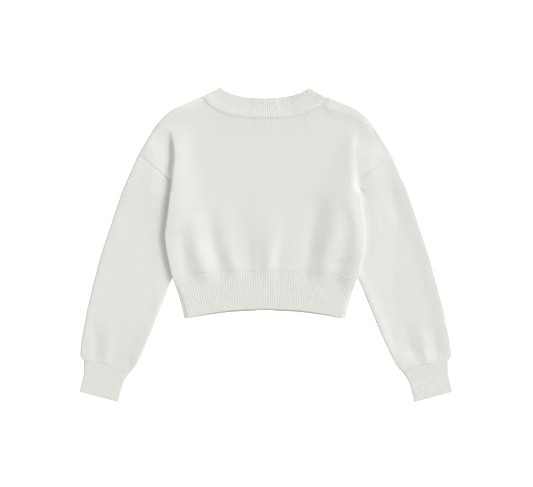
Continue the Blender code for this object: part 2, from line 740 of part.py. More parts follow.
def neckband_stations():
    """Return the neckband's sections from the right front, over the back, to the left front.

    Each is (edge point, seam point), and each point is (outer, inner) in x, y and z.
    """
    edge_fold, seam_fold = NECK_EDGE[-1], NECK_SEAM[-1]
    edge_seam, seam_seam = NECK_EDGE[-2], NECK_SEAM[-2]
    edge_flat = turned_in(edge_fold, edge_seam)
    seam_flat = turned_in(seam_fold, seam_seam)
    edge_path = smooth_path(NECK_EDGE[:-1] + (edge_flat,))
    seam_path = smooth_path(NECK_SEAM[:-1] + (seam_flat,))

    def flat_pair(place: Point, side: int, z: float, wall: float):
        return (side * place.out, place.up, z), (side * place.out, place.up, z - wall)

    half = []
    for side in (RIGHT, LEFT):
        front = []
        for step in range(FRONT_NECK_COLUMNS):
            share = 1 - step / FRONT_NECK_COLUMNS
            pair = []
            for top, level in ((edge_flat, FRONT_NECK_EDGE_UP), (seam_flat, FRONT_NECK_SEAM_UP)):
                place = front_neck(level, top, share)
                x = side * place.out
                pair.append(flat_pair(place, side, front_low(x, place.up), -WALL))
            front.append(pair)
        turns = [[fold_point(fold, seam, side, degrees)
                  for fold, seam in ((edge_fold, edge_seam), (seam_fold, seam_seam))]
                 for degrees in FOLD_ANGLES[:-1]]
        back = []
        for step in range(NECK_RIBS):
            share = 1 - step / NECK_RIBS
            lift = RIB_HEIGHT * (0.5 if step % 2 else -0.5)
            pair = []
            for path in (edge_path, seam_path):
                place = path(share)
                level = upper_level(side * place.out, place.up)
                outer, inner = flat_pair(place, side, level, WALL)
                pair.append(((outer[0], outer[1], level + lift), inner))
            back.append(pair)
        half.append(front + turns + back)
    middle = []
    for path in (edge_path, seam_path):
        place = path(0.0)
        level = upper_level(0.0, place.up)
        middle.append(((0.0, place.up, level + RIB_HEIGHT / 2), (0.0, place.up, level - WALL)))
    return half[0] + [middle] + half[1][::-1]


def build_neckband(collection, material):
    """Build the neckband as one strip, ribbed where it shows on the back."""
    outer, inner = [], []
    for edge, seam in neckband_stations():
        outer_row, inner_row = [], []
        for share in (0.0, 0.5, 1.0):
            outer_row.append(tuple(mix(edge[0][axis], seam[0][axis], share) for axis in range(3)))
            inner_row.append(tuple(mix(edge[1][axis], seam[1][axis], share) for axis in range(3)))
        outer.append(outer_row)
        inner.append(inner_row)
    return cloth_piece("neckband", collection, material, outer, inner)


def build_band(name: str, low: float, collection, material):
    """Build one front band, a straight strip from the hem to the neck."""
    bottom_up = back_hem_edge(0.0) - FRONT_HEM_DROP
    top_up = FRONT_NECK_EDGE_UP
    band_mesh = bpy.data.meshes.new(name)
    strip = bmesh.new()
    bmesh.ops.create_cube(strip, size=1.0)
    for vertex in strip.verts:
        vertex.co.x *= 2 * BAND_HALF_WIDTH * MM
        vertex.co.y = (mix(bottom_up, top_up, vertex.co.y + 0.5)) * MM
        vertex.co.z = (low + BAND_WALL * (vertex.co.z + 0.5)) * MM
    strip.to_mesh(band_mesh)
    strip.free()
    band_mesh.materials.append(material)
    band = bpy.data.objects.new(name, band_mesh)
    collection.objects.link(band)
    return band


def build_button(number: int, collection, material):
    """Build one flat button with a softened rim."""
    up = BUTTON_FIRST_UP + BUTTON_PITCH * (number - 1)
    bpy.ops.mesh.primitive_cylinder_add(
        vertices=18, radius=BUTTON_RADIUS * MM, depth=BUTTON_THICKNESS * MM,
        location=(0.0, up * MM, BUTTON_THICKNESS * MM / 2))
    button = bpy.context.active_object
    button.name = f"button_{number}"
    button.data.name = button.name
    for owner in list(button.users_collection):
        owner.objects.unlink(button)
    collection.objects.link(button)
    rim = button.modifiers.new("rim", "BEVEL")
    rim.width = 0.5 * MM
    rim.segments = 1
    rim.limit_method = "ANGLE"
    button.data.materials.append(material)
    button.data.shade_smooth()
    button.data.set_sharp_from_angle(angle=math.radians(40))
    return button


def build_cardigan():
    """Build every piece of the cardigan in its own collection."""
    for existing in list(bpy.data.objects):
        bpy.data.objects.remove(existing, do_unlink=True)
    collection = bpy.data.collections.new("cropped_cardigan")
    bpy.context.scene.collection.children.link(collection)
    knit = finish("knit_body", (0.78, 0.765, 0.72), 0.92)
    rib = finish("knit_rib", (0.76, 0.745, 0.70), 0.94)
    shell = finish("button", (0.83, 0.81, 0.76), 0.35)
    build_back(collection, knit)
    for side in (LEFT, RIGHT):
        build_front(side, collection, knit)
        build_sleeve(side, collection, knit)
        build_cuff(side, collection, rib)
        build_front_hem(side, collection, rib)
    build_back_hem(collection, rib)
    build_neckband(collection, rib)
    build_band("buttonhole_band", BUTTONHOLE_BAND_LOW, collection, rib)
    build_band("button_band", BUTTON_BAND_LOW, collection, rib)
    for number in range(1, BUTTON_COUNT + 1):
        build_button(number, collection, shell)


build_cardigan()
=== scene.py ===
"""Looks of the cropped cardigan: knitted cloth, raised ribs, seam stitches, buttons and studio.

The garment lies on the floor at Z = 0 with its back up, its neck towards +Y and the wearer's
right sleeve at +X. Sizes are in millimetres, and MM turns them into Blender's metres. In the
plan, out is the distance from the centre line on either side, and up is the distance towards
the neck. Each piece of cloth is a thin wall between two grids of points.
"""
from __future__ import annotations

import logging
import math
from dataclasses import dataclass, field
from enum import Enum
from functools import reduce
from typing import Callable, NamedTuple, Sequence

import bmesh
import bpy
import numpy as np
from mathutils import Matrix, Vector

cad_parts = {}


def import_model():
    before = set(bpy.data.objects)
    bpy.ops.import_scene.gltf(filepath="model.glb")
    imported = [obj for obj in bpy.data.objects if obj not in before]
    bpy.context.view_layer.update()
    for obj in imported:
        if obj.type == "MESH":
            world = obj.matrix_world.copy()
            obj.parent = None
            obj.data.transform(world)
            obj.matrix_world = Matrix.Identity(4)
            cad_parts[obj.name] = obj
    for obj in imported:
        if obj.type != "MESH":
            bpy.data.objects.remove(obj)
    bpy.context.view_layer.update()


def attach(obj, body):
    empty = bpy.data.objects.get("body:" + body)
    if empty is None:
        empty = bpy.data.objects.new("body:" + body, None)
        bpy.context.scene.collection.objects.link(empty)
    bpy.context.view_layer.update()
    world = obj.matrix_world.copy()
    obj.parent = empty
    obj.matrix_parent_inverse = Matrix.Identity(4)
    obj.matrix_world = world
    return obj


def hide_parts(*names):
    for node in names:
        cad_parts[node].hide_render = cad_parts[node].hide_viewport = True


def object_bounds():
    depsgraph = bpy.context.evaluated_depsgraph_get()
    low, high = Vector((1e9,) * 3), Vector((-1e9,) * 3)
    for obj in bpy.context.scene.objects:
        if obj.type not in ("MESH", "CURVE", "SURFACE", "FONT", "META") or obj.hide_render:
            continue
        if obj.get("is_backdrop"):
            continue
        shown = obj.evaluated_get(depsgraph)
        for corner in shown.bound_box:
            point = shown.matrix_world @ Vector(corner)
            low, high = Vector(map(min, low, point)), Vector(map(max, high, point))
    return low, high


LOG = logging.getLogger("cardigan")
MM = 0.001
BODY = "root"
CLOTH_UV = "knit"           # the UV map: each point's place in the flat cloth, in metres
RIB_AT = "rib_at"           # the marks on the cloth's points: which rib a point is on,
RIB_SHARE = "rib_share"     # how much the rib stands out there,
FROM_SEAM = "from_seam"     # how far the point is from a seam, in metres, which sets the shade painted along it,
WALES = "wales"             # how much the wales stand out,
PAINTED_YOKE_SHADE = "dimmed"           # and how much painted shade darkens the cloth
FAR = 1.0                   # stands for no seam near, in metres
FRONT_NECK_SEAM_UP = 197.0  # the front neckline's lowest points, at the band's seam
FRONT_NECK_EDGE_UP = 236.0  # and at its open edge
LIP_STEPS = np.array([0.0, 0.05, 0.2, 0.4, 0.7, 1.0])  # rows of a rounded edge, as shares of it
Array = np.ndarray


class Side(Enum):
    """The wearer's sides, seen from behind."""

    LEFT = -1
    RIGHT = 1

    @property
    def word(self) -> str:
        """Return the side's name in lower case."""
        return self.name.lower()


class Slot(Enum):
    """The record's material slots."""

    KNIT = "knit_body"
    RIB = "knit_rib"
    BUTTON = "button"


class Point(NamedTuple):
    """A place in the plan."""

    out: float
    up: float


class Section(NamedTuple):
    """One section across a sleeve or a cuff, from its inner folded edge to its outer one."""

    inner: Point
    outer: Point


class ShoulderRow(NamedTuple):
    """One section across the shoulder: the folded outline, and the seam on the back."""

    fold: Point
    right_seam: Point
    left_seam: Point


def ease(value: Array | float) -> Array:
    """Return 0 below 0, 1 above 1 and a smooth step between.

    Args:
        value: The number or numbers to ease.

    Returns:
        The eased numbers.
    """
    clamped = np.clip(value, 0.0, 1.0)
    return clamped * clamped * (3 - 2 * clamped)


def mix(start: Array | float, end: Array | float, share: Array | float) -> Array:
    """Return start at share 0, end at share 1 and a straight line between."""
    return start + (end - start) * share


def hump(distance: Array | float, width: float) -> Array:
    """Return a soft hump, 1 at distance 0 and near 0 two widths away."""
    return np.exp(-np.square(np.asarray(distance) / width))


def soft_max(first: Array, second: Array, blend: float) -> Array:
    """Return the larger of two numbers, rounded over where they cross."""
    return (first + second + np.sqrt(np.square(first - second) + blend * blend)) / 2


@dataclass(frozen=True)
class Ramp:
    """A smooth step from 0 at start to 1 after run, which is negative where it climbs downwards."""

    start: float
    run: float

    def __call__(self, place: Array | float) -> Array:
        """Return the step's height at a place."""
        return ease((place - self.start) / self.run)


@dataclass(frozen=True)
class SmoothCurve:
    """A smooth line through values at knots, which never overshoots them."""

    knots: tuple[float, ...]
    values: tuple[float, ...]

    def __call__(self, where: Array | float) -> Array:
        """Return the line's value at one place or several.

        Args:
            where: Places on the knots' scale; those past its ends take the end's value.

        Returns:
            The values there.
        """
        knots, values = np.array(self.knots), np.array(self.values)
        spans = np.diff(knots)
        slopes = np.diff(values) / spans
        before, after = slopes[:-1], slopes[1:]
        same_way = before * after > 0
        total = np.where(same_way, before + after, 1.0)
        inner = np.where(same_way, 2 * before * after / total, 0.0)
        tangents = np.concatenate([slopes[:1], inner, slopes[-1:]])
        where = np.clip(where, knots[0], knots[-1])
        index = np.clip(np.searchsorted(knots, where, side="right") - 1, 0, len(spans) - 1)
        span = spans[index]
        step = (where - knots[index]) / span
        square, cube = step ** 2, step ** 3
        return ((2 * cube - 3 * square + 1) * values[index]
                + (cube - 2 * square + step) * span * tangents[index]
                + (3 * square - 2 * cube) * values[index + 1]
                + (cube - square) * span * tangents[index + 1])


@dataclass(frozen=True)
class PlanPath:
    """A smooth line in the plan through points, measured by its share of the length."""

    points: tuple[Point, ...]

    def shares(self) -> Array:
        """Return each point's share of the length."""
        steps = np.linalg.norm(np.diff(np.array(self.points), axis=0), axis=1)
        lengths = np.concatenate([[0.0], np.cumsum(steps)])
        return lengths / lengths[-1]

    def at(self, share: Array | float) -> Array:
        """Return the places at shares of the length.

        Args:
            share: From 0 at the first point to 1 at the last one.

        Returns:
            The places, with out and up in the last axis.
        """
        shares = tuple(self.shares())
        columns = [SmoothCurve(shares, tuple(p[axis] for p in self.points))(share)
                   for axis in (0, 1)]
        return np.stack(columns, axis=-1)


class Stop(NamedTuple):
    """One place along a crease: where it is, how high, and how wide on its -X and +X flanks."""

    up: float
    x: float
    height: float
    left: float
    right: float


@dataclass(frozen=True)
class Crease:
    """A soft ridge of cloth that runs mostly along Y, or a trough where its height is negative.

    Its stops go from the hem towards the neck, and past them it dies away over fade.
    """

    stops: tuple[Stop, ...]
    fade: float = 14.0

    def lift(self, x: Array, up: Array) -> Array:
        """Return how much the crease adds to the cloth's height.

        Args:
            x: Signed places across.
            up: Places towards the neck.

        Returns:
            The heights to add, in millimetres.
        """
        ups = tuple(stop.up for stop in self.stops)
        centre, height, left, right = (
            SmoothCurve(ups, tuple(stop[index] for stop in self.stops))(up)
            for index in range(1, 5))
        width = np.where(x < centre, left, right)
        past_end = np.maximum(np.maximum(ups[0] - up, up - ups[-1]), 0.0)
        return height * hump(x - centre, width) * hump(past_end, self.fade)


def creases_lift(creases: Sequence[Crease], x: Array, up: Array) -> Array:
    """Return what several creases add together to the cloth's height."""
    return sum((crease.lift(x, up) for crease in creases), np.zeros(np.shape(x)))


# The garment's outline, as the photograph shows it from straight above.
BODY_SIDE = (Point(161.2, -148), Point(163.8, -135), Point(169.8, -111), Point(177.8, -87),
             Point(181.5, -74), Point(185, -67), Point(190, -45), Point(195.5, -21),
             Point(199, 3), Point(200.5, 17), Point(197.5, 41), Point(192.5, 79),
             Point(189, 117), Point(186, 155), Point(184, 179), Point(190, 229))
HEM_SEAM = (Point(0, -51), Point(84, -54), Point(106, -55), Point(140, -58),
            Point(165, -69), Point(182, -73))
BACK_HEM_EDGE = (Point(0, -128.5), Point(66, -132), Point(100, -136.5), Point(126, -141),
                 Point(145, -145.5), Point(161, -148))
NECK_EDGE = (Point(0, 292.2), Point(37.8, 295), Point(51.8, 297.7), Point(67.8, 302.2),
             Point(81.8, 308.7), Point(88.2, 315))
NECK_SEAM = (Point(0, 250.5), Point(31.8, 251), Point(51.8, 254), Point(67.8, 257),
             Point(83.8, 261.4), Point(98.4, 268), Point(113, 278), Point(127.5, 296))
ARMHOLE_TOP = Point(252.5, 181)
UNDERARM = Point(162, 107)
SHOULDER = (
    ShoulderRow(Point(127.5, 296), Point(113, 278), Point(119.8, 286.5)),
    ShoulderRow(Point(140, 290.7), Point(132, 268.5), Point(137, 278.5)),
    ShoulderRow(Point(156, 283.7), Point(152, 263.8), Point(153, 270.5)),
    ShoulderRow(Point(180, 273), Point(176, 256.5), Point(176.5, 261)),
    ShoulderRow(Point(197, 261), Point(192, 245.5), Point(192.5, 252)),
    ShoulderRow(Point(209, 249), Point(204, 236.5), Point(204.5, 242)),
    ShoulderRow(Point(219, 237), Point(213.5, 229), Point(214.5, 231)),
    ShoulderRow(Point(234, 213), Point(229.5, 208.5), Point(229, 209)),
    ShoulderRow(ARMHOLE_TOP, Point(248.5, 177.7), Point(248.5, 177.7)),
)
SHOULDER_CREASE = 3   # the shoulder row above the body's side crease
SLEEVE = (
    Section(UNDERARM, ARMHOLE_TOP),
    Section(Point(159.5, 95), Point(262, 160)),
    Section(Point(158, 81), Point(270, 141)),
    Section(Point(157.5, 55), Point(284, 109)),
    Section(Point(159, 24), Point(297, 72)),
    Section(Point(164, -9), Point(308, 39)),
    Section(Point(171.5, -38), Point(318, 9)),
    Section(Point(183, -62), Point(326, -15)),
    Section(Point(193.5, -84), Point(333, -39)),
    Section(Point(203, -107), Point(339, -63)),
    Section(Point(212.5, -129), Point(346, -87)),
    Section(Point(222, -153), Point(352, -111)),
    Section(Point(231.5, -177), Point(358, -135)),
    Section(Point(241, -200), Point(362, -159)),
    Section(Point(249, -219), Point(367, -183)),
    Section(Point(257, -235), Point(369.8, -207)),
    Section(Point(264, -246), Point(370.6, -221)),
    Section(Point(273.5, -256), Point(363.4, -233)),
)
CUFF = (
    Section(Point(273.5, -256), Point(363.4, -233)),
    Section(Point(285, -274), Point(364, -258)),
    Section(Point(291, -294), Point(368, -277)),
    Section(Point(296.5, -315), Point(372, -294.5)),
)

# Soft ridges and troughs of the back, from the wearer's left to their right. The first and the
# last are the rolls along its sides, where it lies on the sleeves.
BODY_CREASES = (
    Crease((Stop(-110, -170, 0.5, 20, 18), Stop(-60, -184, 2.2, 30, 24),
            Stop(-39, -189, 3.0, 30, 30), Stop(-15, -192, 3.7, 30, 31),
            Stop(13, -193, 4.2, 30, 44), Stop(45, -188, 5.4, 30, 48),
            Stop(77, -186, 5.6, 30, 45), Stop(109, -184, 5.2, 30, 39),
            Stop(141, -182, 4.8, 30, 32), Stop(173, -180, 4.2, 30, 26),
            Stop(205, -179, 3.0, 26, 24), Stop(240, -176, 0.2, 22, 26))),
    Crease((Stop(-50, -158, -0.6, 9, 10), Stop(-21, -163, -0.7, 9, 10),
            Stop(10, -168, -0.5, 10, 10))),
    Crease((Stop(-84, -115, 0.4, 16, 14), Stop(-62, -120, 2.0, 17, 16),
            Stop(-43, -126, 3.0, 20, 18), Stop(-20, -133, 3.3, 18, 20),
            Stop(8, -139, 2.4, 16, 19), Stop(45, -141, 1.2, 18, 18))),
    Crease((Stop(-64, -86, -0.7, 11, 12), Stop(-41, -90, -1.2, 12, 12),
            Stop(-14, -99, -1.4, 12, 13), Stop(15, -104, -1.1, 13, 14),
            Stop(48, -108, -0.6, 14, 14)), fade=20),
    Crease((Stop(-64, -58, 0.8, 12, 12), Stop(-39, -63, 1.3, 12, 13),
            Stop(-12, -72, 0.9, 12, 14), Stop(20, -80, 0.6, 13, 14),
            Stop(70, -84, 0.4, 16, 16)), fade=24),
    Crease((Stop(-64, -25, -0.4, 14, 12), Stop(-40, -30, -0.8, 18, 14),
            Stop(0, -36, -1.0, 20, 16), Stop(30, -42, -0.8, 20, 18),
            Stop(70, -48, -0.3, 20, 18)), fade=24),
    Crease((Stop(-62, 6, 0.8, 13, 10), Stop(-41, 7, 1.7, 15, 11),
            Stop(-21, 9, 2.1, 17, 12), Stop(9, 13, 1.8, 22, 19),
            Stop(40, 17, 1.0, 26, 26)), fade=24),
    Crease((Stop(-50, 27, -0.5, 9, 10), Stop(-25, 29, -0.7, 9, 12),
            Stop(0, 36, -0.4, 12, 12), Stop(35, 42, -0.3, 14, 14)), fade=18),
    Crease((Stop(-64, 80, -0.7, 14, 10), Stop(-41, 84, -1.2, 14, 11),
            Stop(-21, 88, -1.3, 14, 13), Stop(9, 92, -1.1, 14, 14),
            Stop(39, 97, -0.9, 15, 15), Stop(69, 101, -0.6, 16, 16)), fade=20),
    Crease((Stop(-86, 114, 0.6, 16, 14), Stop(-62, 117, 2.3, 18, 18),
            Stop(-40, 121, 4.1, 20, 20), Stop(-21, 125, 4.7, 21, 38),
            Stop(9, 133, 5.4, 24, 38), Stop(39, 141, 5.4, 27, 34),
            Stop(69, 144, 4.6, 27, 32), Stop(109, 144, 2.5, 30, 30),
            Stop(139, 142, 0.7, 26, 28))),
    Crease((Stop(-110, 160, 0.8, 16, 20), Stop(-62, 174, 3.4, 24, 24),
            Stop(-40, 181, 5.2, 25, 26), Stop(-21, 185, 5.6, 23, 26),
            Stop(9, 186, 5.2, 21, 28), Stop(39, 184, 4.4, 18, 28),
            Stop(69, 178, 4.4, 20, 28), Stop(109, 174, 3.9, 25, 28),
            Stop(139, 173, 3.6, 27, 38), Stop(159, 173, 3.1, 27, 32),
            Stop(189, 174, 1.9, 18, 24), Stop(216, 172, 0.6, 16, 22),
            Stop(240, 172, 0.1, 16, 20))),
)
SLEEVE_CREASES = (
    Crease((Stop(-236, -338, -0.5, 9, 8), Stop(-205, -337, -0.8, 9, 9),
            Stop(-170, -339, -0.4, 10, 10))),
    Crease((Stop(-240, -319, 0.4, 8, 9), Stop(-218, -317, 0.7, 8, 9),
            Stop(-190, -313, 0.5, 10, 12), Stop(-160, -311, 0.3, 12, 14))),
    Crease((Stop(-240, -298, -0.3, 8, 9), Stop(-215, -297, -0.3, 9, 12),
            Stop(-180, -284, -0.5, 12, 14)), fade=18),
    Crease((Stop(-240, 306, -0.6, 14, 7), Stop(-222, 299, -1.0, 16, 7),
            Stop(-191, 286, -0.9, 16, 10), Stop(-160, 280, -0.4, 16, 14)), fade=20),
    Crease((Stop(-242, 325, 0.9, 8, 7), Stop(-222, 321, 1.5, 8, 8),
            Stop(-201, 318, 1.2, 12, 11), Stop(-165, 311, 0.4, 13, 12)), fade=16),
    Crease((Stop(-240, 346, -0.4, 7, 8), Stop(-218, 344, -0.7, 8, 8),
            Stop(-185, 340, -0.5, 9, 9)), fade=18),
    Crease((Stop(40, 272, -0.3, 16, 14), Stop(90, 254, -0.6, 20, 14),
            Stop(130, 238, -0.2, 16, 12)), fade=20),
)


@dataclass(frozen=True)
class Plan:
    """The garment's lines in the plan, as smooth curves."""

    body_side: SmoothCurve = SmoothCurve(*zip(*((p.up, p.out) for p in BODY_SIDE)))
    hem_seam: SmoothCurve = SmoothCurve(*zip(*HEM_SEAM))
    back_hem_edge: SmoothCurve = SmoothCurve(*zip(*BACK_HEM_EDGE))
    neck_seam: SmoothCurve = SmoothCurve(*zip(*NECK_SEAM))
    sleeve_inner: SmoothCurve = SmoothCurve(*zip(*((-s.inner.up, s.inner.out) for s in SLEEVE)))
    sleeve_outer: SmoothCurve = SmoothCurve(*zip(*((-s.outer.up, s.outer.out) for s in SLEEVE)))
    shoulder_fold: SmoothCurve = SmoothCurve(*zip(*(row.fold for row in SHOULDER)))
    right_shoulder_seam: SmoothCurve = SmoothCurve(*zip(*(row.right_seam for row in SHOULDER)))
    crossing_up: float = 127.9      # where the body's side crosses the armhole seam
    side_bottom_up: float = -73.0   # lower end of the body's side, at the hem's seam
    armhole_lead: float = 14.0      # how far below its seam the sleeve already begins to lift

    def armhole_out(self, up: Array | float) -> Array:
        """Return how far out the straight armhole seam is at a level."""
        share = (up - UNDERARM.up) / (ARMHOLE_TOP.up - UNDERARM.up)
        return mix(UNDERARM.out, ARMHOLE_TOP.out, share)

    def armhole_distance(self, out: Array, up: Array) -> Array:
        """Return how far places are from the armhole seam.

        Args:
            out: The places out from the centre line.
            up: The places towards the neck.

        Returns:
            The distances in millimetres, positive below the seam and outwards.
        """
        run = np.array(ARMHOLE_TOP) - np.array(UNDERARM)
        run = run / np.linalg.norm(run)
        return (out - UNDERARM.out) * run[1] - (up - UNDERARM.up) * run[0]

    def sleeve_edge_under_body(self, up: Array) -> Array:
        """Return how far out the sleeve that lies under the body begins."""
        at_armhole = self.armhole_out(np.maximum(up - self.armhole_lead, UNDERARM.up))
        return np.where(up <= UNDERARM.up, self.sleeve_inner(-up), at_armhole)


PLAN = Plan()


@dataclass(frozen=True)
class Relief:
    """Heights of the cloth above the floor, in millimetres."""

    wall: float = 2.0               # the knit's thickness
    layer_gap: float = 0.2          # air between the fronts and the back
    layer_blend: float = 0.4        # how softly the back comes to lie on the fronts
    fold_radius: float = 3.5        # how far a folded edge turns in the plan
    fold_height: float = 3.0        # where its outermost line lies
    fold_wall: float = 0.55         # how far its two faces end from its middle, in walls
    fold_gap: float = 0.15          # half the air inside it
    fold_square: float = 3.6        # 2 rounds it like a circle, and more keeps its top flatter
    right_fold_square: float = 13.0
    panel_level: float = 8.7        # the back's upper face
    shoulder_level: float = 7.6     # and at the shoulder's fold
    shoulder_run: float = 34.0      # how far the back takes to climb from one to the other
    hem_fade: float = 44.0          # how far the body's creases run on into the hem
    sleeve_low: float = 5.4         # a sleeve's upper face beside the body
    sleeve_rise: float = 1.2        # how much higher it lies away from the body
    away_from_body: Ramp = Ramp(2, 25)
    highest_side_up: float = -40.0  # below it a sleeve's distance from the body stays as it is
    right_lift: float = -0.5        # how much the right sleeve's rise differs
    right_tilt: float = 0.042       # how much the right sleeve falls outwards
    right_tilt_reach: float = 66.0
    left_tilt: float = 0.018        # how much the left sleeve falls towards the body
    left_tilt_reach: float = 90.0
    left_tilt_ends: Ramp = Ramp(-225, 75)
    left_shoulder_tilt: float = 0.08
    left_shoulder_reach: float = 38.0
    left_shoulder_from: Ramp = Ramp(44, 90)
    left_shoulder_until: Ramp = Ramp(215, 30)
    left_edge_roll: float = 0.7     # how much a sleeve's folded edges stand above its middle
    right_edge_roll: float = 1.2
    edge_slant: float = 0.88        # a distance across a slanting sleeve, for each one along X
    edge_inset: float = 4.0         # how far in from the edge its roll is highest
    outer_edge_width: float = 16.0
    outer_edge_from: Ramp = Ramp(205, -50)
    inner_edge_width: float = 11.0
    inner_edge_from: Ramp = Ramp(-30, -40)
    outside_lift: float = 4.6       # how much the right sleeve's cloth piles up past the body
    pile_width: float = 62.0
    pile_from: Ramp = Ramp(84, 62)
    pile_until: Ramp = Ramp(176, 50)
    pile_above_body: Ramp = Ramp(102, 18)   # where the pile reaches in over the body's side
    cuff_level: float = 5.2         # a cuff's upper face
    cuff_swell: float = 0.6         # how much higher the cloth lies at its seam
    near_cuff_up: Ramp = Ramp(-205, -40)
    near_cuff_out: Ramp = Ramp(255, 20)
    cuff_crease_loss: float = 0.5   # the share of the sleeve's creases that ends there
    sleeve_clear: float = 5.4       # the fronts' lower face where they lie on a sleeve
    climb_start: float = 33.0       # how far in from the sleeve's edge they begin to climb it
    climb_run: float = 25.0
    underarm_run: float = 25.0      # how far past the underarm they come down again
    hem_climb: Ramp = Ramp(-112, 34)
    band_half_width: float = 16.0
    buttonhole_band_low: float = 2.3    # the lower faces of the bands, on the buttons
    button_band_low: float = 4.4
    band_ramp: float = 27.0         # how far beside a band a front comes down to the floor
    side_crease_from_up: float = 99.0   # where the crease between the back and a shoulder begins
    left_side_onset: float = 13.0
    right_side_onset: float = 30.0
    side_crease_until: Ramp = Ramp(184, 50)
    left_side_run: float = 8.0      # how wide it is
    right_side_run: float = 14.0
    right_side_inset: float = 1.5   # how far inside the body's side its bottom lies
    right_side_power: float = 1.6   # how sharply the back rolls over into it
    seam_ledge: float = 1.0         # how much the right shoulder's strip stands above the back
    ledge_slant: float = 0.9        # a distance across the shoulder, for each one along Y
    ledge_run: Ramp = Ramp(-2, 17)
    ledge_from: Ramp = Ramp(113, 14)
    ledge_until: Ramp = Ramp(196, 24)
    left_shoulder_roll: float = 2.0     # how much the left shoulder swells inside its fold
    roll_slant: tuple[float, float] = (0.9, 0.6)
    roll_slant_turns: Ramp = Ramp(165, 45)
    roll_inset: float = 6.0
    roll_width: float = 17.0
    roll_from: Ramp = Ramp(125, 45)
    roll_seam_run: float = 26.0
    left_armhole_dip: float = 0.34  # how much the cloth sinks at each armhole's seam
    right_armhole_dip: float = 0.14
    right_seam_slack: float = 0.7   # how far the right armhole's painted shade line, and on the back its dip, is held off
    lip_share: float = 0.12         # the wall's thickness left at an open edge

    def front_low(self, x: Array, up: Array) -> Array:
        """Return the under face of the fronts, which climb on to the sleeve and the bands.

        Args:
            x: Signed places across.
            up: Places towards the neck.

        Returns:
            The heights above the floor.
        """
        out = np.abs(x)
        on_sleeve = 1 - ease((up - PLAN.crossing_up) / self.underarm_run)
        start = PLAN.sleeve_edge_under_body(up) - self.climb_start
        reach = ease((out - start) / self.climb_run)
        band_low = np.where(x > 0, self.buttonhole_band_low, self.button_band_low)
        on_band = 1 - ease((out - self.band_half_width - 1) / self.band_ramp)
        return self.sleeve_clear * on_sleeve * self.hem_climb(up) * reach + band_low * on_band

    def sleeve_level(self, x: Array, up: Array) -> Array:
        """Return the upper face of a sleeve, and of the back outside the body's side crease.

        Args:
            x: Signed places across.
            up: Places towards the neck.

        Returns:
            The heights above the floor.
        """
        out = np.abs(x)
        past_body = out - PLAN.body_side(np.maximum(up, self.highest_side_up))
        free = self.away_from_body(past_body)
        near_cuff = self.near_cuff_up(up) * self.near_cuff_out(out)
        level = self.sleeve_low + self.sleeve_rise * free
        fall = self.right_tilt * np.clip(past_body, 0, self.right_tilt_reach)
        level = level + (self.right_lift * free - fall) * (x > 0)
        tilt = self.left_tilt * np.clip(past_body, 0, self.left_tilt_reach)
        level = level + tilt * self.left_tilt_ends(up) * (x < 0)
        shoulder = self.left_shoulder_from(up) * (1 - self.left_shoulder_until(up))
        tilt = self.left_shoulder_tilt * np.clip(past_body, 0, self.left_shoulder_reach)
        level = level + tilt * shoulder * (x < 0)
        level = mix(level, self.cuff_level + self.cuff_swell, near_cuff)
        creases = creases_lift(SLEEVE_CREASES, x, up) * (1 - self.cuff_crease_loss * near_cuff)
        return (level + self.edge_rolls(x, up) * (1 - near_cuff)
                + (creases + self.pile(past_body, up) * (x > 0)))

    def edge_rolls(self, x: Array, up: Array) -> Array:
        """Return how much a sleeve swells along its two folded edges.

        Args:
            x: Signed places across.
            up: Places towards the neck.

        Returns:
            The heights to add.
        """
        out = np.abs(x)
        roll = np.where(x > 0, self.right_edge_roll, self.left_edge_roll)
        from_outer = self.edge_slant * (PLAN.sleeve_outer(-up) - out) - self.edge_inset
        from_inner = self.edge_slant * (out - PLAN.sleeve_inner(-up)) - self.edge_inset
        return roll * (hump(from_outer, self.outer_edge_width) * self.outer_edge_from(up)
                       + hump(from_inner, self.inner_edge_width) * self.inner_edge_from(up))

    def pile(self, past_body: Array, up: Array) -> Array:
        """Return how much the right sleeve's cloth piles up beside the back.

        Args:
            past_body: How far places are outside the body's side.
            up: Places towards the neck.

        Returns:
            The heights to add.
        """
        above = self.pile_above_body(up)
        reach = ease((past_body + mix(2.0, 16.0, above)) / mix(24.0, 5.0, above))
        piled = self.pile_from(up) * (1 - self.pile_until(up)) * reach
        return self.outside_lift * piled * hump(past_body, self.pile_width)

    def upper_level(self, x: Array, up: Array) -> Array:
        """Return the upper face of the back, its hem, its neckband and the shoulder strips.

        Args:
            x: Signed places across.
            up: Places towards the neck.

        Returns:
            The heights above the floor.
        """
        out = np.abs(x)
        inside = ease((PLAN.shoulder_fold(out) - up) / self.shoulder_run)
        level = mix(self.shoulder_level, self.panel_level, inside)
        lasting = ease((up - PLAN.hem_seam(out)) / self.hem_fade + 1)
        level = level + creases_lift(BODY_CREASES, x, up) * lasting
        level = mix(level, self.sleeve_level(x, up), self.past_side_crease(x, up))
        level = level + self.shoulder_ledge(x, up) + self.shoulder_roll(x, up)
        below = self.front_low(-out, up) + 2 * self.wall + self.layer_gap
        return soft_max(level, below, self.layer_blend)

    def past_side_crease(self, x: Array, up: Array) -> Array:
        """Return how far the back has come down to the sleeve's level, past the body's side.

        Args:
            x: Signed places across.
            up: Places towards the neck.

        Returns:
            Shares from 0 on the back to 1 at the sleeve's level.
        """
        past_side = np.abs(x) - PLAN.body_side(up)
        left = ease(past_side / self.left_side_run + 0.5)
        right = np.clip((past_side + self.right_side_inset) / self.right_side_run + 1, 0.0, 1.0)
        onset = np.where(x > 0, self.right_side_onset, self.left_side_onset)
        depth = (1 - self.side_crease_until(up)) * ease((up - self.side_crease_from_up) / onset)
        return np.where(x > 0, right ** self.right_side_power, left) * depth

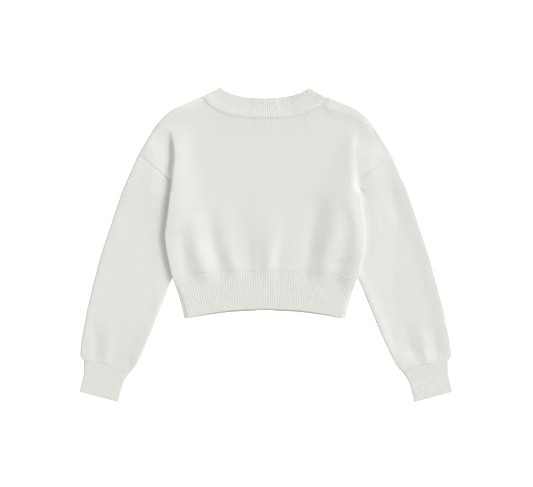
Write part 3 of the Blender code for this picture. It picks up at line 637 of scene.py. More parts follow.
    def shoulder_ledge(self, x: Array, up: Array) -> Array:
        """Return how much the right shoulder's strip stands above the back.

        Args:
            x: Signed places across.
            up: Places towards the neck.

        Returns:
            The heights to add.
        """
        out = np.abs(x)
        past_seam = (PLAN.right_shoulder_seam(out) - up) * self.ledge_slant
        on_strip = self.ledge_from(out) * (1 - self.ledge_until(out)) * (x > 0)
        return self.seam_ledge * on_strip * (1 - self.ledge_run(past_seam))

    def shoulder_roll(self, x: Array, up: Array) -> Array:
        """Return how much the left shoulder swells inside its fold.

        Args:
            x: Signed places across.
            up: Places towards the neck.

        Returns:
            The heights to add.
        """
        out = np.abs(x)
        slant = mix(*self.roll_slant, self.roll_slant_turns(out))
        from_fold = (PLAN.shoulder_fold(out) - up) * slant
        above_armhole = ease(-PLAN.armhole_distance(out, up) / self.roll_seam_run)
        return (self.left_shoulder_roll * hump(from_fold - self.roll_inset, self.roll_width)
                * (x < 0) * self.roll_from(out) * above_armhole)

    def armhole_dip(self, side: Side) -> float:
        """Return how much the cloth sinks at one armhole's seam."""
        return self.left_armhole_dip if side is Side.LEFT else self.right_armhole_dip

    def armhole_slack(self, side: Side) -> float:
        """Return how far one armhole's painted shade line, and on the back its dip, is held off from
        its seam.
        """
        return self.right_seam_slack if side is Side.RIGHT else 0.0

    def seam_dip(self, distance: Array, depth: float, width: float = 1.8) -> Array:
        """Return how much the cloth sinks at a distance from a seam."""
        return depth * hump(distance, width)

    def fold_share(self, from_edge: Array, x: Array) -> Array:
        """Return how far round a folded edge has turned.

        Args:
            from_edge: Distances from the edge.
            x: Signed places across, since the two sides are folded differently.

        Returns:
            Shares from 0 at the edge to 1 where the cloth lies flat.
        """
        square = np.where(x > 0, self.right_fold_square, self.fold_square)
        inwards = np.clip(from_edge / self.fold_radius, 0.0, 1.0)
        return (1 - (1 - inwards) ** square) ** (1 / square)

    def squared(self, wave: Array) -> Array:
        """Return a sine or a cosine round a fold, drawn out so that the fold's top is flatter."""
        return np.sign(wave) * np.abs(wave) ** (2 / self.fold_square)

    def lip(self, from_edge: Array, radius: float) -> Array:
        """Return the share of the wall's thickness left near a rounded open edge."""
        inwards = np.clip(from_edge / radius, 0.0, 1.0)
        return self.lip_share + (1 - self.lip_share) * np.sqrt(1 - np.square(1 - inwards))

    def back_faces(self, level: Array, low: Array, turn: Array) -> tuple[Array, Array]:
        """Return the two faces of a back layer, which turns under at its sides.

        Args:
            level: The upper face where it lies flat.
            low: The fronts' under face below it.
            turn: How far round the fold each place is, from 0 at the edge to 1.

        Returns:
            The heights of the outer face and of the inner one.
        """
        middle = (level + low) / 2
        top = mix(middle + self.fold_wall * self.wall, level, turn)
        return top, np.maximum(top - self.wall, middle + self.fold_gap)

    def front_faces(self, level: Array, low: Array, turn: Array) -> tuple[Array, Array]:
        """Return the two faces of a front layer, which turns up at its sides.

        Args:
            level: The back's upper face above it.
            low: Its under face where it lies flat.
            turn: How far round the fold each place is, from 0 at the edge to 1.

        Returns:
            The heights of the outer face and of the inner one.
        """
        middle = (level + low) / 2
        bottom = mix(middle - self.fold_wall * self.wall, low, turn)
        return bottom, np.minimum(bottom + self.wall, middle - self.fold_gap)


RELIEF = Relief()


def grid(*parts: Array | float) -> Array:
    """Return points from their x, up and height, or flat places from their x and up."""
    return np.stack(np.broadcast_arrays(*parts), axis=-1)


def thinned(outer: Array, inner: Array, share: Array) -> tuple[Array, Array]:
    """Return two faces drawn together, with a share of the way between them left.

    Args:
        outer: The outer face's heights or points.
        inner: The inner face's.
        share: The share left at each place.

    Returns:
        The two faces.
    """
    middle = (outer + inner) / 2
    return middle + (outer - middle) * share, middle + (inner - middle) * share


@dataclass
class ClothWall:
    """A wall of cloth between an outer and an inner grid of points, closed round its rims.

    The grids are (rows, columns, 3) in millimetres, and flat is (rows, columns, 2), the place
    of each point in the flat cloth. With ring the rows close on themselves, and ring_width is
    each one's whole length. keep says which cells are used, and marks are stored on the points.
    """

    outer: Array
    inner: Array
    flat: Array
    ring: bool = False
    ring_width: Array | None = None
    keep: Array | None = None
    marks: dict[str, Array] = field(default_factory=dict)

    def corners(self) -> tuple[Array, Array]:
        """Return each cell's four corners.

        Returns:
            The corners as point numbers, and as places in the flat cloth.
        """
        rows, columns = self.outer.shape[:2]
        reach = columns if self.ring else columns - 1
        keep = np.ones((rows - 1, reach), bool) if self.keep is None else self.keep
        row, column = np.nonzero(keep)
        following = column + 1
        cells = [(row, column), (row, following), (row + 1, following), (row + 1, column)]
        points = np.stack([r * columns + c % columns for r, c in cells], axis=1)
        flat = self.flat
        if self.ring:
            closing = flat[:, :1].copy()
            closing[:, 0, 0] += self.ring_width
            flat = np.concatenate([flat, closing], axis=1)
        return points, np.stack([flat[r, c] for r, c in cells], axis=1)

    def build(self, name: str, material: bpy.types.Material | None) -> bpy.types.Object:
        """Make the wall a mesh object.

        Args:
            name: The object's name.
            material: Its material, or None where a later step sets it.

        Returns:
            The new object, linked to the scene.
        """
        points, places = self.corners()
        count = self.outer.shape[0] * self.outer.shape[1]
        starts, ends = points.ravel(), np.roll(points, -1, axis=1).ravel()
        start_at = places.reshape(-1, 2)
        end_at = np.roll(places, -1, axis=1).reshape(-1, 2)
        open_side = ~np.isin(starts * count + ends, ends * count + starts)
        first, last = starts[open_side], ends[open_side]
        rim = np.stack([last, first, first + count, last + count], axis=1)
        rim_at = np.stack([end_at[open_side], start_at[open_side],
                           start_at[open_side], end_at[open_side]], axis=1)
        faces = np.concatenate([points, points[:, ::-1] + count, rim])
        flat = np.concatenate([places, places[:, ::-1], rim_at]).reshape(-1, 2) * MM
        used, numbers = np.unique(faces, return_inverse=True)
        both = np.concatenate([self.outer.reshape(-1, 3), self.inner.reshape(-1, 3)]) * MM
        mesh = bpy.data.meshes.new(name)
        mesh.from_pydata(both[used].tolist(), [], numbers.reshape(-1, 4).tolist())
        layer = mesh.uv_layers.new(name=CLOTH_UV)
        layer.data.foreach_set("uv", flat.astype(np.float32).ravel())
        self.store_marks(mesh, used)
        turn_outwards(mesh)
        mesh.shade_smooth()
        mesh.set_sharp_from_angle(angle=math.radians(70))
        if material:
            mesh.materials.append(material)
        return linked(bpy.data.objects.new(name, mesh))

    def store_marks(self, mesh: bpy.types.Mesh, used: Array) -> None:
        """Store the marks on a mesh, with plain values for those that the wall hasn't.

        Args:
            mesh: The wall's mesh.
            used: The numbers of the points that it has.
        """
        shape = self.outer.shape[:2]
        plain = {FROM_SEAM: np.full(shape, FAR), WALES: np.zeros(shape), PAINTED_YOKE_SHADE: np.zeros(shape)}
        for name, values in {**plain, **self.marks}.items():
            inside = np.zeros(values.size) if name == RIB_SHARE else values.ravel()
            both = np.concatenate([values.ravel(), inside])[used]
            attribute = mesh.attributes.new(name, "FLOAT", "POINT")
            attribute.data.foreach_set("value", both.astype(np.float32))

    def area(self) -> float:
        """Return the outer grid's area in square metres."""
        points, _ = self.corners()
        a, b, c, d = (self.outer.reshape(-1, 3)[column] * MM for column in points.T)
        return float(np.linalg.norm(np.cross(c - a, d - b), axis=1).sum() / 2)


def linked(piece: bpy.types.Object) -> bpy.types.Object:
    """Link an object to the scene's collection and return it."""
    bpy.context.scene.collection.objects.link(piece)
    return piece


def turn_outwards(mesh: bpy.types.Mesh) -> None:
    """Turn a closed mesh's faces outwards.

    Args:
        mesh: The mesh.
    """
    work = bmesh.new()
    work.from_mesh(mesh)
    bmesh.ops.recalc_face_normals(work, faces=work.faces)
    work.to_mesh(mesh)
    work.free()


# ---------------------------------------------------------------------------------------------
# Geometry Nodes
# ---------------------------------------------------------------------------------------------

class Kind(Enum):
    """Kinds of sockets on a node tree."""

    SHAPE = "NodeSocketGeometry"
    FINISH = "NodeSocketMaterial"
    VECTOR = "NodeSocketVector"
    NUMBER = "NodeSocketFloat"
    WHOLE = "NodeSocketInt"


def new_tree(name: str, family: str, inputs: Sequence[tuple],
             outputs: Sequence[tuple[str, Kind]]) -> tuple[bpy.types.NodeTree, dict[str, str]]:
    """Make a node tree with its interface.

    Args:
        name: The tree's name.
        family: Its type name.
        inputs: Each input's name and kind, and its default value where it has one.
        outputs: Each output's name and kind.

    Returns:
        The tree, and its inputs' identifiers by name.
    """
    tree = bpy.data.node_groups.new(name, family)
    names = {}
    for label, kind, *defaults in inputs:
        socket = tree.interface.new_socket(label, in_out="INPUT", socket_type=kind.value)
        names[label] = socket.identifier
        for value in defaults:
            socket.default_value = value
    for label, kind in outputs:
        tree.interface.new_socket(label, in_out="OUTPUT", socket_type=kind.value)
    return tree, names


class NodeDesk:
    """Places nodes in one tree and joins them."""

    def __init__(self, tree: bpy.types.NodeTree) -> None:
        """Keep the tree to work on."""
        self.tree = tree

    def add(self, kind: str, inputs: dict | None = None, **settings) -> bpy.types.Node:
        """Add a node.

        Args:
            kind: The node's type name.
            inputs: A value or an output socket for each input, by name or number.
            **settings: The node's own settings.

        Returns:
            The new node.
        """
        node = self.tree.nodes.new(kind)
        for name, value in settings.items():
            setattr(node, name, value)
        self.feed(node, inputs or {})
        return node

    def feed(self, node: bpy.types.Node, inputs: dict) -> None:
        """Join outputs to a node's inputs, or set the inputs' own values.

        Args:
            node: The node.
            inputs: A value or an output socket for each input, by name or number.
        """
        for key, value in inputs.items():
            if isinstance(value, bpy.types.NodeSocket):
                self.tree.links.new(value, node.inputs[key])
            else:
                node.inputs[key].default_value = value

    def given(self) -> bpy.types.bpy_prop_collection:
        """Return the tree's own inputs."""
        return self.add("NodeGroupInput").outputs

    def math(self, operation: str, *values: object, clamp: bool = False) -> bpy.types.NodeSocket:
        """Add a Math node and return its output."""
        inputs = dict(enumerate(values))
        return self.add("ShaderNodeMath", inputs, operation=operation, use_clamp=clamp).outputs[0]

    def product(self, *factors: object) -> bpy.types.NodeSocket:
        """Return the product of several numbers."""
        return reduce(lambda first, second: self.math("MULTIPLY", first, second), factors)

    def point_mark(self, name: str) -> bpy.types.NodeSocket:
        """Return a mark on the cloth's points, in a Geometry Nodes tree."""
        return self.add("GeometryNodeInputNamedAttribute", {"Name": name},
                        data_type="FLOAT").outputs["Attribute"]

    def shader_mark(self, name: str) -> bpy.types.NodeSocket:
        """Return a mark on the cloth's points, in a material."""
        return self.add("ShaderNodeAttribute", attribute_name=name).outputs["Fac"]

    def noise(self, scale: float, detail: float, inputs: dict,
              **settings) -> bpy.types.NodeSocket:
        """Add a Noise Texture and return its value."""
        values = {**inputs, "Scale": scale, "Detail": detail}
        return self.add("ShaderNodeTexNoise", values, **settings).outputs["Fac"]

    def finish(self, shape: bpy.types.NodeSocket, material: bpy.types.NodeSocket) -> None:
        """Give a tree's shape its material and put it out."""
        dressed = self.add("GeometryNodeSetMaterial", {"Geometry": shape, "Material": material})
        self.add("NodeGroupOutput", {0: dressed.outputs[0]})


@dataclass(frozen=True)
class RibTree:
    """Geometry Nodes that raise one by one ribs on the marked face of a wall of cloth."""

    height: float = 0.36      # millimetres from valley to crest, where a piece gives no other
    roundness: float = 0.6    # below 1 widens the crests and narrows the valleys
    middle: float = 0.6       # the part of a rib's height that stays at the cloth's own level
    unevenness: float = 0.18  # how much the height differs from place to place
    patches: float = 55.0     # how close such places are
    seed: int = 4

    def tree(self) -> tuple[bpy.types.NodeTree, dict[str, str]]:
        """Build the tree.

        Returns:
            The tree, and each input's identifier by name.
        """
        tree, names = new_tree("raise_ribs", "GeometryNodeTree", (
            ("Cloth", Kind.SHAPE), ("Height", Kind.NUMBER, self.height * MM),
            ("Roundness", Kind.NUMBER, self.roundness),
            ("Unevenness", Kind.NUMBER, self.unevenness), ("Seed", Kind.WHOLE, self.seed),
            ("Finish", Kind.FINISH)), [("Ribbed", Kind.SHAPE)])
        desk = NodeDesk(tree)
        given = desk.given()
        angle = desk.product(desk.point_mark(RIB_AT), 2 * math.pi)
        crest = desk.math("MULTIPLY_ADD", desk.math("COSINE", angle), -0.5, 0.5)
        rounded = desk.math("POWER", crest, given["Roundness"])
        noise = desk.noise(self.patches, 2.0, {"W": given["Seed"]}, noise_dimensions="4D")
        uneven = desk.math("MULTIPLY_ADD", desk.math("SUBTRACT", noise, 0.5),
                           desk.product(given["Unevenness"], 4.0), 1.0)
        lift = desk.product(desk.math("SUBTRACT", rounded, self.middle), given["Height"], uneven,
                            desk.point_mark(RIB_SHARE))
        normal = desk.add("GeometryNodeInputNormal").outputs[0]
        offset = desk.add("ShaderNodeVectorMath", {0: normal, "Scale": lift},
                          operation="SCALE").outputs[0]
        moved = desk.add("GeometryNodeSetPosition",
                         {"Geometry": given["Cloth"], "Offset": offset}).outputs[0]
        real = desk.add("GeometryNodeRealizeInstances", {0: moved}).outputs[0]
        desk.finish(real, given["Finish"])
        return tree, names


@dataclass(frozen=True)
class StitchTree:
    """Geometry Nodes that lay plump stitches along a line."""

    spacing: float = 2.6      # millimetres between stitches
    length: float = 2.9
    yarn: float = 0.42        # the yarn's radius
    bow: float = 1.5          # how high a stitch bows, in radii
    taper: float = 3.0        # how late its ends grow thin
    slant: float = 0.5        # how far it leans across the line, as an angle
    jitter: float = 0.16
    sides: int = 6
    seed: int = 11

    def tree(self) -> tuple[bpy.types.NodeTree, dict[str, str]]:
        """Build the tree.

        Returns:
            The tree, and each input's identifier by name.
        """
        tree, names = new_tree("lay_stitches", "GeometryNodeTree", (
            ("Line", Kind.SHAPE), ("Spacing", Kind.NUMBER, self.spacing * MM),
            ("Length", Kind.NUMBER, self.length * MM), ("Yarn", Kind.NUMBER, self.yarn * MM),
            ("Slant", Kind.NUMBER, self.slant), ("Jitter", Kind.NUMBER, self.jitter),
            ("Seed", Kind.WHOLE, self.seed), ("Finish", Kind.FINISH)),
            [("Stitches", Kind.SHAPE)])
        desk = NodeDesk(tree)
        given = desk.given()
        line = desk.add("GeometryNodeMeshToCurve", {0: given["Line"]}).outputs[0]
        places = desk.add("GeometryNodeResampleCurve", {"Curve": line, "Length": given["Spacing"]},
                          mode="LENGTH").outputs[0]
        tangent = desk.add("GeometryNodeInputTangent").outputs[0]
        facing = desk.add("FunctionNodeAlignRotationToVector", {"Vector": tangent},
                          axis="X").outputs[0]
        turn = desk.add("FunctionNodeRandomValue",
                        {2: desk.math("SUBTRACT", given["Slant"], given["Jitter"]),
                         3: desk.math("ADD", given["Slant"], given["Jitter"]),
                         "Seed": given["Seed"]}, data_type="FLOAT").outputs[1]
        spin = desk.add("ShaderNodeCombineXYZ", {"Z": turn}).outputs[0]
        turned = desk.add("FunctionNodeRotateRotation", {0: facing, 1: spin},
                          rotation_space="LOCAL").outputs[0]
        laid = desk.add("GeometryNodeInstanceOnPoints",
                        {"Points": places, "Instance": self.stitch(desk, given),
                         "Rotation": turned}).outputs[0]
        real = desk.add("GeometryNodeRealizeInstances", {0: laid}).outputs[0]
        smooth = desk.add("GeometryNodeSetShadeSmooth", {"Geometry": real}).outputs[0]
        desk.finish(smooth, given["Finish"])
        return tree, names

    def stitch(self, desk: NodeDesk,
               given: bpy.types.bpy_prop_collection) -> bpy.types.NodeSocket:
        """Place the nodes that make one stitch, a bowed yarn that thins at its ends.

        Args:
            desk: The desk on the tree.
            given: The tree's inputs.

        Returns:
            The stitch's shape.
        """
        half = desk.product(given["Length"], 0.5)
        rise = desk.product(given["Yarn"], self.bow)
        ends = [desk.add("ShaderNodeCombineXYZ", {"X": x, "Z": z}).outputs[0]
                for x, z in ((desk.product(half, -1.0), 0.0), (0.0, rise), (half, 0.0))]
        bow = desk.add("GeometryNodeCurveQuadraticBezier",
                       {"Resolution": 6, "Start": ends[0], "Middle": ends[1], "End": ends[2]})
        along = desk.add("GeometryNodeSplineParameter").outputs["Factor"]
        from_middle = desk.math("ABSOLUTE", desk.math("MULTIPLY_ADD", along, 2.0, -1.0))
        swell = desk.math("SUBTRACT", 1.0, desk.math("POWER", from_middle, self.taper))
        radius = desk.math("MAXIMUM", desk.product(swell, given["Yarn"]), 0.00008)
        shaped = desk.add("GeometryNodeSetCurveRadius",
                          {"Curve": bow.outputs[0], "Radius": radius}).outputs[0]
        ring = desk.add("GeometryNodeCurvePrimitiveCircle",
                        {"Resolution": self.sides, "Radius": 1.0}).outputs[0]
        return desk.add("GeometryNodeCurveToMesh",
                        {"Curve": shaped, "Profile Curve": ring, "Scale": radius,
                         "Fill Caps": True}).outputs[0]


class Grower:
    """Runs one Geometry Nodes tree on pieces and keeps the results as plain meshes."""

    def __init__(self, settings: RibTree | StitchTree, material: bpy.types.Material) -> None:
        """Build the tree and keep the material that its shapes take."""
        self.material = material
        self.tree, self.names = settings.tree()

    def grow(self, piece: bpy.types.Object, **values: float) -> None:
        """Run the tree on a piece.

        Args:
            piece: The object whose mesh the tree takes, and whose mesh it replaces.
            **values: What to set the tree's named inputs to, where it isn't their default.
        """
        modifier = piece.modifiers.new(self.tree.name, "NODES")
        modifier.node_group = self.tree
        for name, value in {"Finish": self.material, **values}.items():
            modifier[self.names[name]] = value
        graph = bpy.context.evaluated_depsgraph_get()
        made = bpy.data.meshes.new_from_object(piece.evaluated_get(graph), depsgraph=graph)
        piece.modifiers.remove(modifier)
        before = piece.data
        piece.data = made
        made.name = piece.name
        bpy.data.meshes.remove(before)


# ---------------------------------------------------------------------------------------------
# Finishes
# ---------------------------------------------------------------------------------------------

def loop_group() -> bpy.types.NodeTree:
    """Build the shader group that draws plain knit loops over the flat cloth.

    Returns:
        The group, which puts out the loops' height and how deep the gaps between them are, which
        sets the shade painted into those gaps.
    """
    tree, _ = new_tree("knit_loops", "ShaderNodeTree", (
        ("Cloth", Kind.VECTOR), ("Wale", Kind.NUMBER, 0.00235),
        ("Course", Kind.NUMBER, 0.0019), ("Slant", Kind.NUMBER, 1.1),
        ("Wander", Kind.NUMBER, 0.12)), [("Height", Kind.NUMBER), ("Gap", Kind.NUMBER)])
    desk = NodeDesk(tree)
    given = desk.given()
    drift = desk.noise(160.0, 2.0, {"Vector": given["Cloth"]})
    drift = desk.product(desk.math("SUBTRACT", drift, 0.5), given["Wander"])
    split = desk.add("ShaderNodeSeparateXYZ", {0: given["Cloth"]}).outputs
    wale = desk.math("ADD", desk.math("DIVIDE", split["X"], given["Wale"]), drift)
    course = desk.math("ADD", desk.math("DIVIDE", split["Y"], given["Course"]), drift)
    across = desk.math("SUBTRACT", desk.math("FRACT", wale), 0.5)
    from_spine = desk.math("ABSOLUTE", across)
    slanted = desk.math("SUBTRACT", course, desk.product(from_spine, given["Slant"]))
    leg = desk.math("SINE", desk.product(from_spine, 2 * math.pi))
    bead = desk.math("SINE", desk.product(desk.math("FRACT", slanted), math.pi))
    bead = desk.math("POWER", bead, 0.6)
    height = desk.product(desk.math("POWER", desk.math("MAXIMUM", leg, 0.0), 0.7),
                          desk.math("MULTIPLY_ADD", bead, 0.6, 0.4))
    # how deep the gaps are; it sets the shade painted into them
    gap = desk.math("SUBTRACT", 1.0, height, clamp=True)
    desk.add("NodeGroupOutput", {0: height, 1: desk.math("POWER", gap, 2.0)})
    return tree


def tone_group() -> bpy.types.NodeTree:
    """Build the shader group that varies the yarn's tone over the cloth.

    Returns:
        The group, which puts out a factor for the colour and the fuzz's height.
    """
    tree, _ = new_tree("yarn_tone", "ShaderNodeTree", (
        ("Place", Kind.VECTOR), ("Cloth", Kind.VECTOR), ("Patches", Kind.NUMBER, 0.02),
        ("Grain", Kind.NUMBER, 0.03)), [("Tone", Kind.NUMBER), ("Fuzz", Kind.NUMBER)])
    desk = NodeDesk(tree)
    given = desk.given()
    patch = desk.noise(24.0, 3.0, {"Vector": given["Place"]})
    stretched = desk.add("ShaderNodeMapping", {"Vector": given["Cloth"],
                                               "Scale": (1.0, 0.35, 1.0)}).outputs[0]
    grain = desk.noise(420.0, 3.0, {"Vector": stretched, "Roughness": 0.65})
    fuzz = desk.noise(1500.0, 3.0, {"Vector": given["Place"], "Roughness": 0.7})
    patch = desk.product(desk.math("SUBTRACT", patch, 0.5), given["Patches"])
    grain = desk.product(desk.math("SUBTRACT", grain, 0.5), given["Grain"])
    tone = desk.math("ADD", desk.math("ADD", patch, grain), 1.0)
    desk.add("NodeGroupOutput", {0: tone, 1: fuzz})
    return tree


def seam_group() -> bpy.types.NodeTree:
    """Build the shader group that paints shade on the yarn along seams and over the yoke, and draws
    the wales near them.

    Returns:
        The group, which puts out a painted shade factor for the colour and the wales' height.
    """
    tree, _ = new_tree("seam_wear", "ShaderNodeTree", (
        ("From seam", Kind.NUMBER, FAR), ("Width", Kind.NUMBER, 0.0019),
        ("Shade", Kind.NUMBER, 0.08), ("Cloth", Kind.VECTOR), ("Wales", Kind.NUMBER, 0.0),
        ("Pitch", Kind.NUMBER, 0.0047), ("Dimmed", Kind.NUMBER, 0.0),
        ("Dim", Kind.NUMBER, 0.022)), [("Tone", Kind.NUMBER), ("Wale height", Kind.NUMBER)])
    desk = NodeDesk(tree)
    given = desk.given()
    # painted shade along a seam's groove
    near = desk.math("SUBTRACT", 1.0, desk.math("DIVIDE", given["From seam"], given["Width"]),
                     clamp=True)
    eased = desk.product(desk.product(near, near), desk.math("MULTIPLY_ADD", near, -2.0, 3.0))
    seam_shade_factor = desk.math("SUBTRACT", 1.0, desk.product(eased, given["Shade"]))
    # painted shade over the yoke
    dim = desk.math("SUBTRACT", 1.0, desk.product(given["Dimmed"], given["Dim"]))
    across = desk.add("ShaderNodeSeparateXYZ", {0: given["Cloth"]}).outputs["X"]
    turn = desk.product(desk.math("DIVIDE", across, given["Pitch"]), 2 * math.pi)
    ridge = desk.math("MULTIPLY_ADD", desk.math("COSINE", turn), 0.5, 0.5)
    desk.add("NodeGroupOutput", {0: desk.product(seam_shade_factor, dim),
                                 1: desk.product(ridge, given["Wales"])})
    return tree


class ShaderGroups:
    """The shader groups that the finishes share, each built once."""

    def __init__(self) -> None:
        """Build the groups."""
        self.loops = loop_group()
        self.tone = tone_group()
        self.seam = seam_group()


def new_material(name: str) -> tuple[bpy.types.Material, NodeDesk, bpy.types.Node]:
    """Make a material and return it with a desk on its nodes and its shader."""
    material = bpy.data.materials.new(name)
    material.use_nodes = True
    return material, NodeDesk(material.node_tree), material.node_tree.nodes["Principled BSDF"]


@dataclass(frozen=True)
class KnitFinish:
    """Off-white yarn, knitted, with shade painted into the gaps between its loops, along seams and
    over the yoke.
    """

    name: str
    colour: tuple[float, float, float] = (0.74, 0.732, 0.7)
    # painted shade: the darker colour drawn into the gaps between loops
    gap_colour: tuple[float, float, float] = (0.60, 0.588, 0.549)
    wale: float = 2.35        # millimetres between columns of stitches
    course: float = 1.9       # millimetres between rows of stitches
    gap_share: float = 0.24   # how much of the shade painted into the gaps between loops shows
    bump: float = 0.25        # a loop's height in millimetres
    seam_shade: float = 0.08  # how much painted shade darkens the yarn in a seam's groove
    seam_width: float = 1.9   # and how far beside it, in millimetres
    wale_pitch: float = 4.7   # millimetres between the wales that show under the neckband
    wale_bump: float = 0.22
    dim: float = 0.022        # how much painted shade darkens the yoke
    fuzz: float = 0.05
    roughness: float = 0.95
    specular: float = 0.15
    sheen: float = 0.12
    sheen_roughness: float = 0.4

    def material(self, groups: ShaderGroups) -> bpy.types.Material:
        """Build the material.

        Args:
            groups: The shared shader groups.

        Returns:
            The material.
        """
        material, desk, shader = new_material(self.name)
        cloth = desk.add("ShaderNodeUVMap", uv_map=CLOTH_UV).outputs[0]
        place = desk.add("ShaderNodeTexCoord").outputs["Object"]
        loops = desk.add("ShaderNodeGroup", {
            "Cloth": cloth, "Wale": self.wale * MM, "Course": self.course * MM},
            node_tree=groups.loops).outputs
        tone = desk.add("ShaderNodeGroup", {"Place": place, "Cloth": cloth},
                        node_tree=groups.tone).outputs
        seam = desk.add("ShaderNodeGroup", {
            "From seam": desk.shader_mark(FROM_SEAM), "Width": self.seam_width * MM,
            "Shade": self.seam_shade, "Cloth": cloth, "Wales": desk.shader_mark(WALES),
            "Pitch": self.wale_pitch * MM, "Dimmed": desk.shader_mark(PAINTED_YOKE_SHADE),
            "Dim": self.dim}, node_tree=groups.seam).outputs
        # painted shade: the gaps between loops darken towards the gap colour
        yarn = desk.add("ShaderNodeMix", {
            0: desk.product(loops["Gap"], self.gap_share), 6: (*self.colour, 1.0),
            7: (*self.gap_colour, 1.0)}, data_type="RGBA")
        # random tone, times the shade painted along seams and over the yoke
        toned = desk.add("ShaderNodeVectorMath", {
            0: yarn.outputs[2], "Scale": desk.product(tone["Tone"], seam["Tone"])},
            operation="SCALE").outputs[0]
        height = desk.math("MULTIPLY_ADD", tone["Fuzz"], self.fuzz / self.bump, loops["Height"])
        height = desk.math("MULTIPLY_ADD", seam["Wale height"], self.wale_bump / self.bump,
                           height)
        bump = desk.add("ShaderNodeBump", {"Height": height, "Distance": self.bump * MM,
                                           "Strength": 1.0}).outputs[0]
        desk.feed(shader, {
            "Base Color": toned, "Normal": bump, "Roughness": self.roughness,
            "Specular IOR Level": self.specular, "Sheen Weight": self.sheen,
            "Sheen Roughness": self.sheen_roughness})
        return material


@dataclass(frozen=True)
class ButtonFinish:
    """Softly glossy off-white shell with a faint cloudy grain."""

    name: str = "cardigan_button"
    colour: tuple[float, float, float] = (0.80, 0.78, 0.72)
    cloud: tuple[float, float, float] = (0.70, 0.67, 0.60)
    roughness: float = 0.28
    coat: float = 0.3

    def material(self) -> bpy.types.Material:
        """Build the material.

        Returns:
            The material.
        """
        material, desk, shader = new_material(self.name)
        place = desk.add("ShaderNodeTexCoord").outputs["Object"]
        clouds = desk.noise(130.0, 4.0, {"Vector": place, "Distortion": 0.8})
        tint = desk.add("ShaderNodeMix", {0: clouds, 6: (*self.colour, 1.0),
                                          7: (*self.cloud, 1.0)}, data_type="RGBA")
        desk.feed(shader, {"Base Color": tint.outputs[2], "Roughness": self.roughness,
                           "Coat Weight": self.coat})
        return material


@dataclass(frozen=True)
class FloorFinish:
    """Plain pale studio floor."""

    name: str = "studio_floor"
    colour: tuple[float, float, float] = (0.93, 0.93, 0.93)
    glow: float = 0.6

    def material(self) -> bpy.types.Material:
        """Build the material.

        Returns:
            The material.
        """
        material, desk, shader = new_material(self.name)
        desk.feed(shader, {"Base Color": (*self.colour, 1.0), "Roughness": 1.0,
                           "Specular IOR Level": 0.0, "Emission Color": (1.0, 1.0, 1.0, 1.0),
                           "Emission Strength": self.glow})
        return material


# ---------------------------------------------------------------------------------------------
# Pieces
# ---------------------------------------------------------------------------------------------

@dataclass(frozen=True)
class Cut:
    """What one piece of cloth stands for, how it was cut and what it lies on."""

    node: str                       # the solid that it stands for
    slot: Slot                      # the material slot that it belongs to, which sets its name's ending
    flat: tuple[float, float]       # its cut's width and length
    rests_on: tuple[str, ...] = ("studio_floor",)

    def lay(self, wall: ClothWall, finish: bpy.types.Material | Grower,
            rib_height: float = 0.0) -> None:
        """Build the piece of cloth and tell the frame about it.

        Args:
            wall: The piece's wall of cloth.
            Build the piece of cloth, attach it to the body, hide the solid that it stands for and
            log its sizes.
            rib_height: How high its ribs are raised, in millimetres.
        """
        name = f"{self.node}_{'cloth' if self.slot is Slot.KNIT else 'rib'}"
        if isinstance(finish, Grower):
            piece = wall.build(name, None)
            finish.grow(piece, Height=rib_height * MM)
        else:
            piece = wall.build(name, finish)
        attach(piece, BODY)
        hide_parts(self.node)
        area = wall.area()
        LOG.info("%s: %.0f x %.0f mm, %.4f m2, %d faces", name, *self.flat, area,
                 len(piece.data.polygons))


def spaced(start: float, end: float, pitch: float) -> Array:
    """Return evenly spaced numbers from start to end, about pitch apart."""
    return np.linspace(start, end, max(2, round(abs(end - start) / pitch) + 1))


@dataclass
class PanelCut:
    """How a panel's columns fan out from the centre to the side fold and the shoulder."""

    first_out: float            # where the first column is
    tops: Array                 # where each column ends at the top
    across: Array               # each column's share of the way to the side's fold
    round_fold: Array           # and how far round that fold it has turned
    fold_ends: float = 0.3      # the share of the way up to the shoulder where the fold opens
    hem_gap: float = 0.05

    def places(self, low: Array, high: Array) -> tuple[Array, Array, Array, Array]:
        """Return the panel's places, how far each is from the fold, and the fold's amount.

        Args:
            low: Each row's share from the hem's seam to the underarm crossing.
            high: Each row's share from there to the top.

        Returns:
            out, up, from_edge and amount, each (rows, columns).
        """
        radius = RELIEF.fold_radius
        low, high = low[:, None], high[:, None]
        edge_up = mix(PLAN.side_bottom_up, PLAN.crossing_up, low)
        reach = PLAN.body_side(edge_up) - radius - self.first_out
        out = self.first_out + reach * self.across + radius * self.round_fold
        bottom_reach = PLAN.body_side(PLAN.side_bottom_up) - radius - self.first_out
        bottom_out = self.first_out + self.across * bottom_reach + radius * self.round_fold
        low_up = mix(PLAN.hem_seam(bottom_out) + self.hem_gap, PLAN.crossing_up, low)
        out = mix(out, self.tops[:, 0], high)
        up = mix(low_up, self.tops[:, 1], high)
        from_edge = np.broadcast_to(radius * (1 - self.round_fold), out.shape)
        amount = np.broadcast_to(1 - ease(high / self.fold_ends), out.shape)
        return out, up, from_edge, amount


def shoulder_seam(side: Side) -> PlanPath:
    """Return the shoulder's seam on the back on one side."""
    return PlanPath(tuple(row.right_seam if side is Side.RIGHT else row.left_seam
                          for row in SHOULDER))


def fan_turn(index: Array) -> Array:
    """Return how far round the side's fold a fan's columns have turned."""
    return 1 - (1 - index) ** 1.6


def row_shares(lower: int, upper: int) -> tuple[Array, Array]:
    """Return the rows' shares below and above the underarm crossing.

    Args:
        lower: How many rows lie below it.
        upper: How many lie above it.

    Returns:
        Each row's share of the way up to the crossing, and from there to the top.
    """
    low = np.concatenate([np.arange(lower) / lower, np.ones(upper + 1)])
    high = np.concatenate([np.zeros(lower), np.arange(upper + 1) / upper])
    return low, high


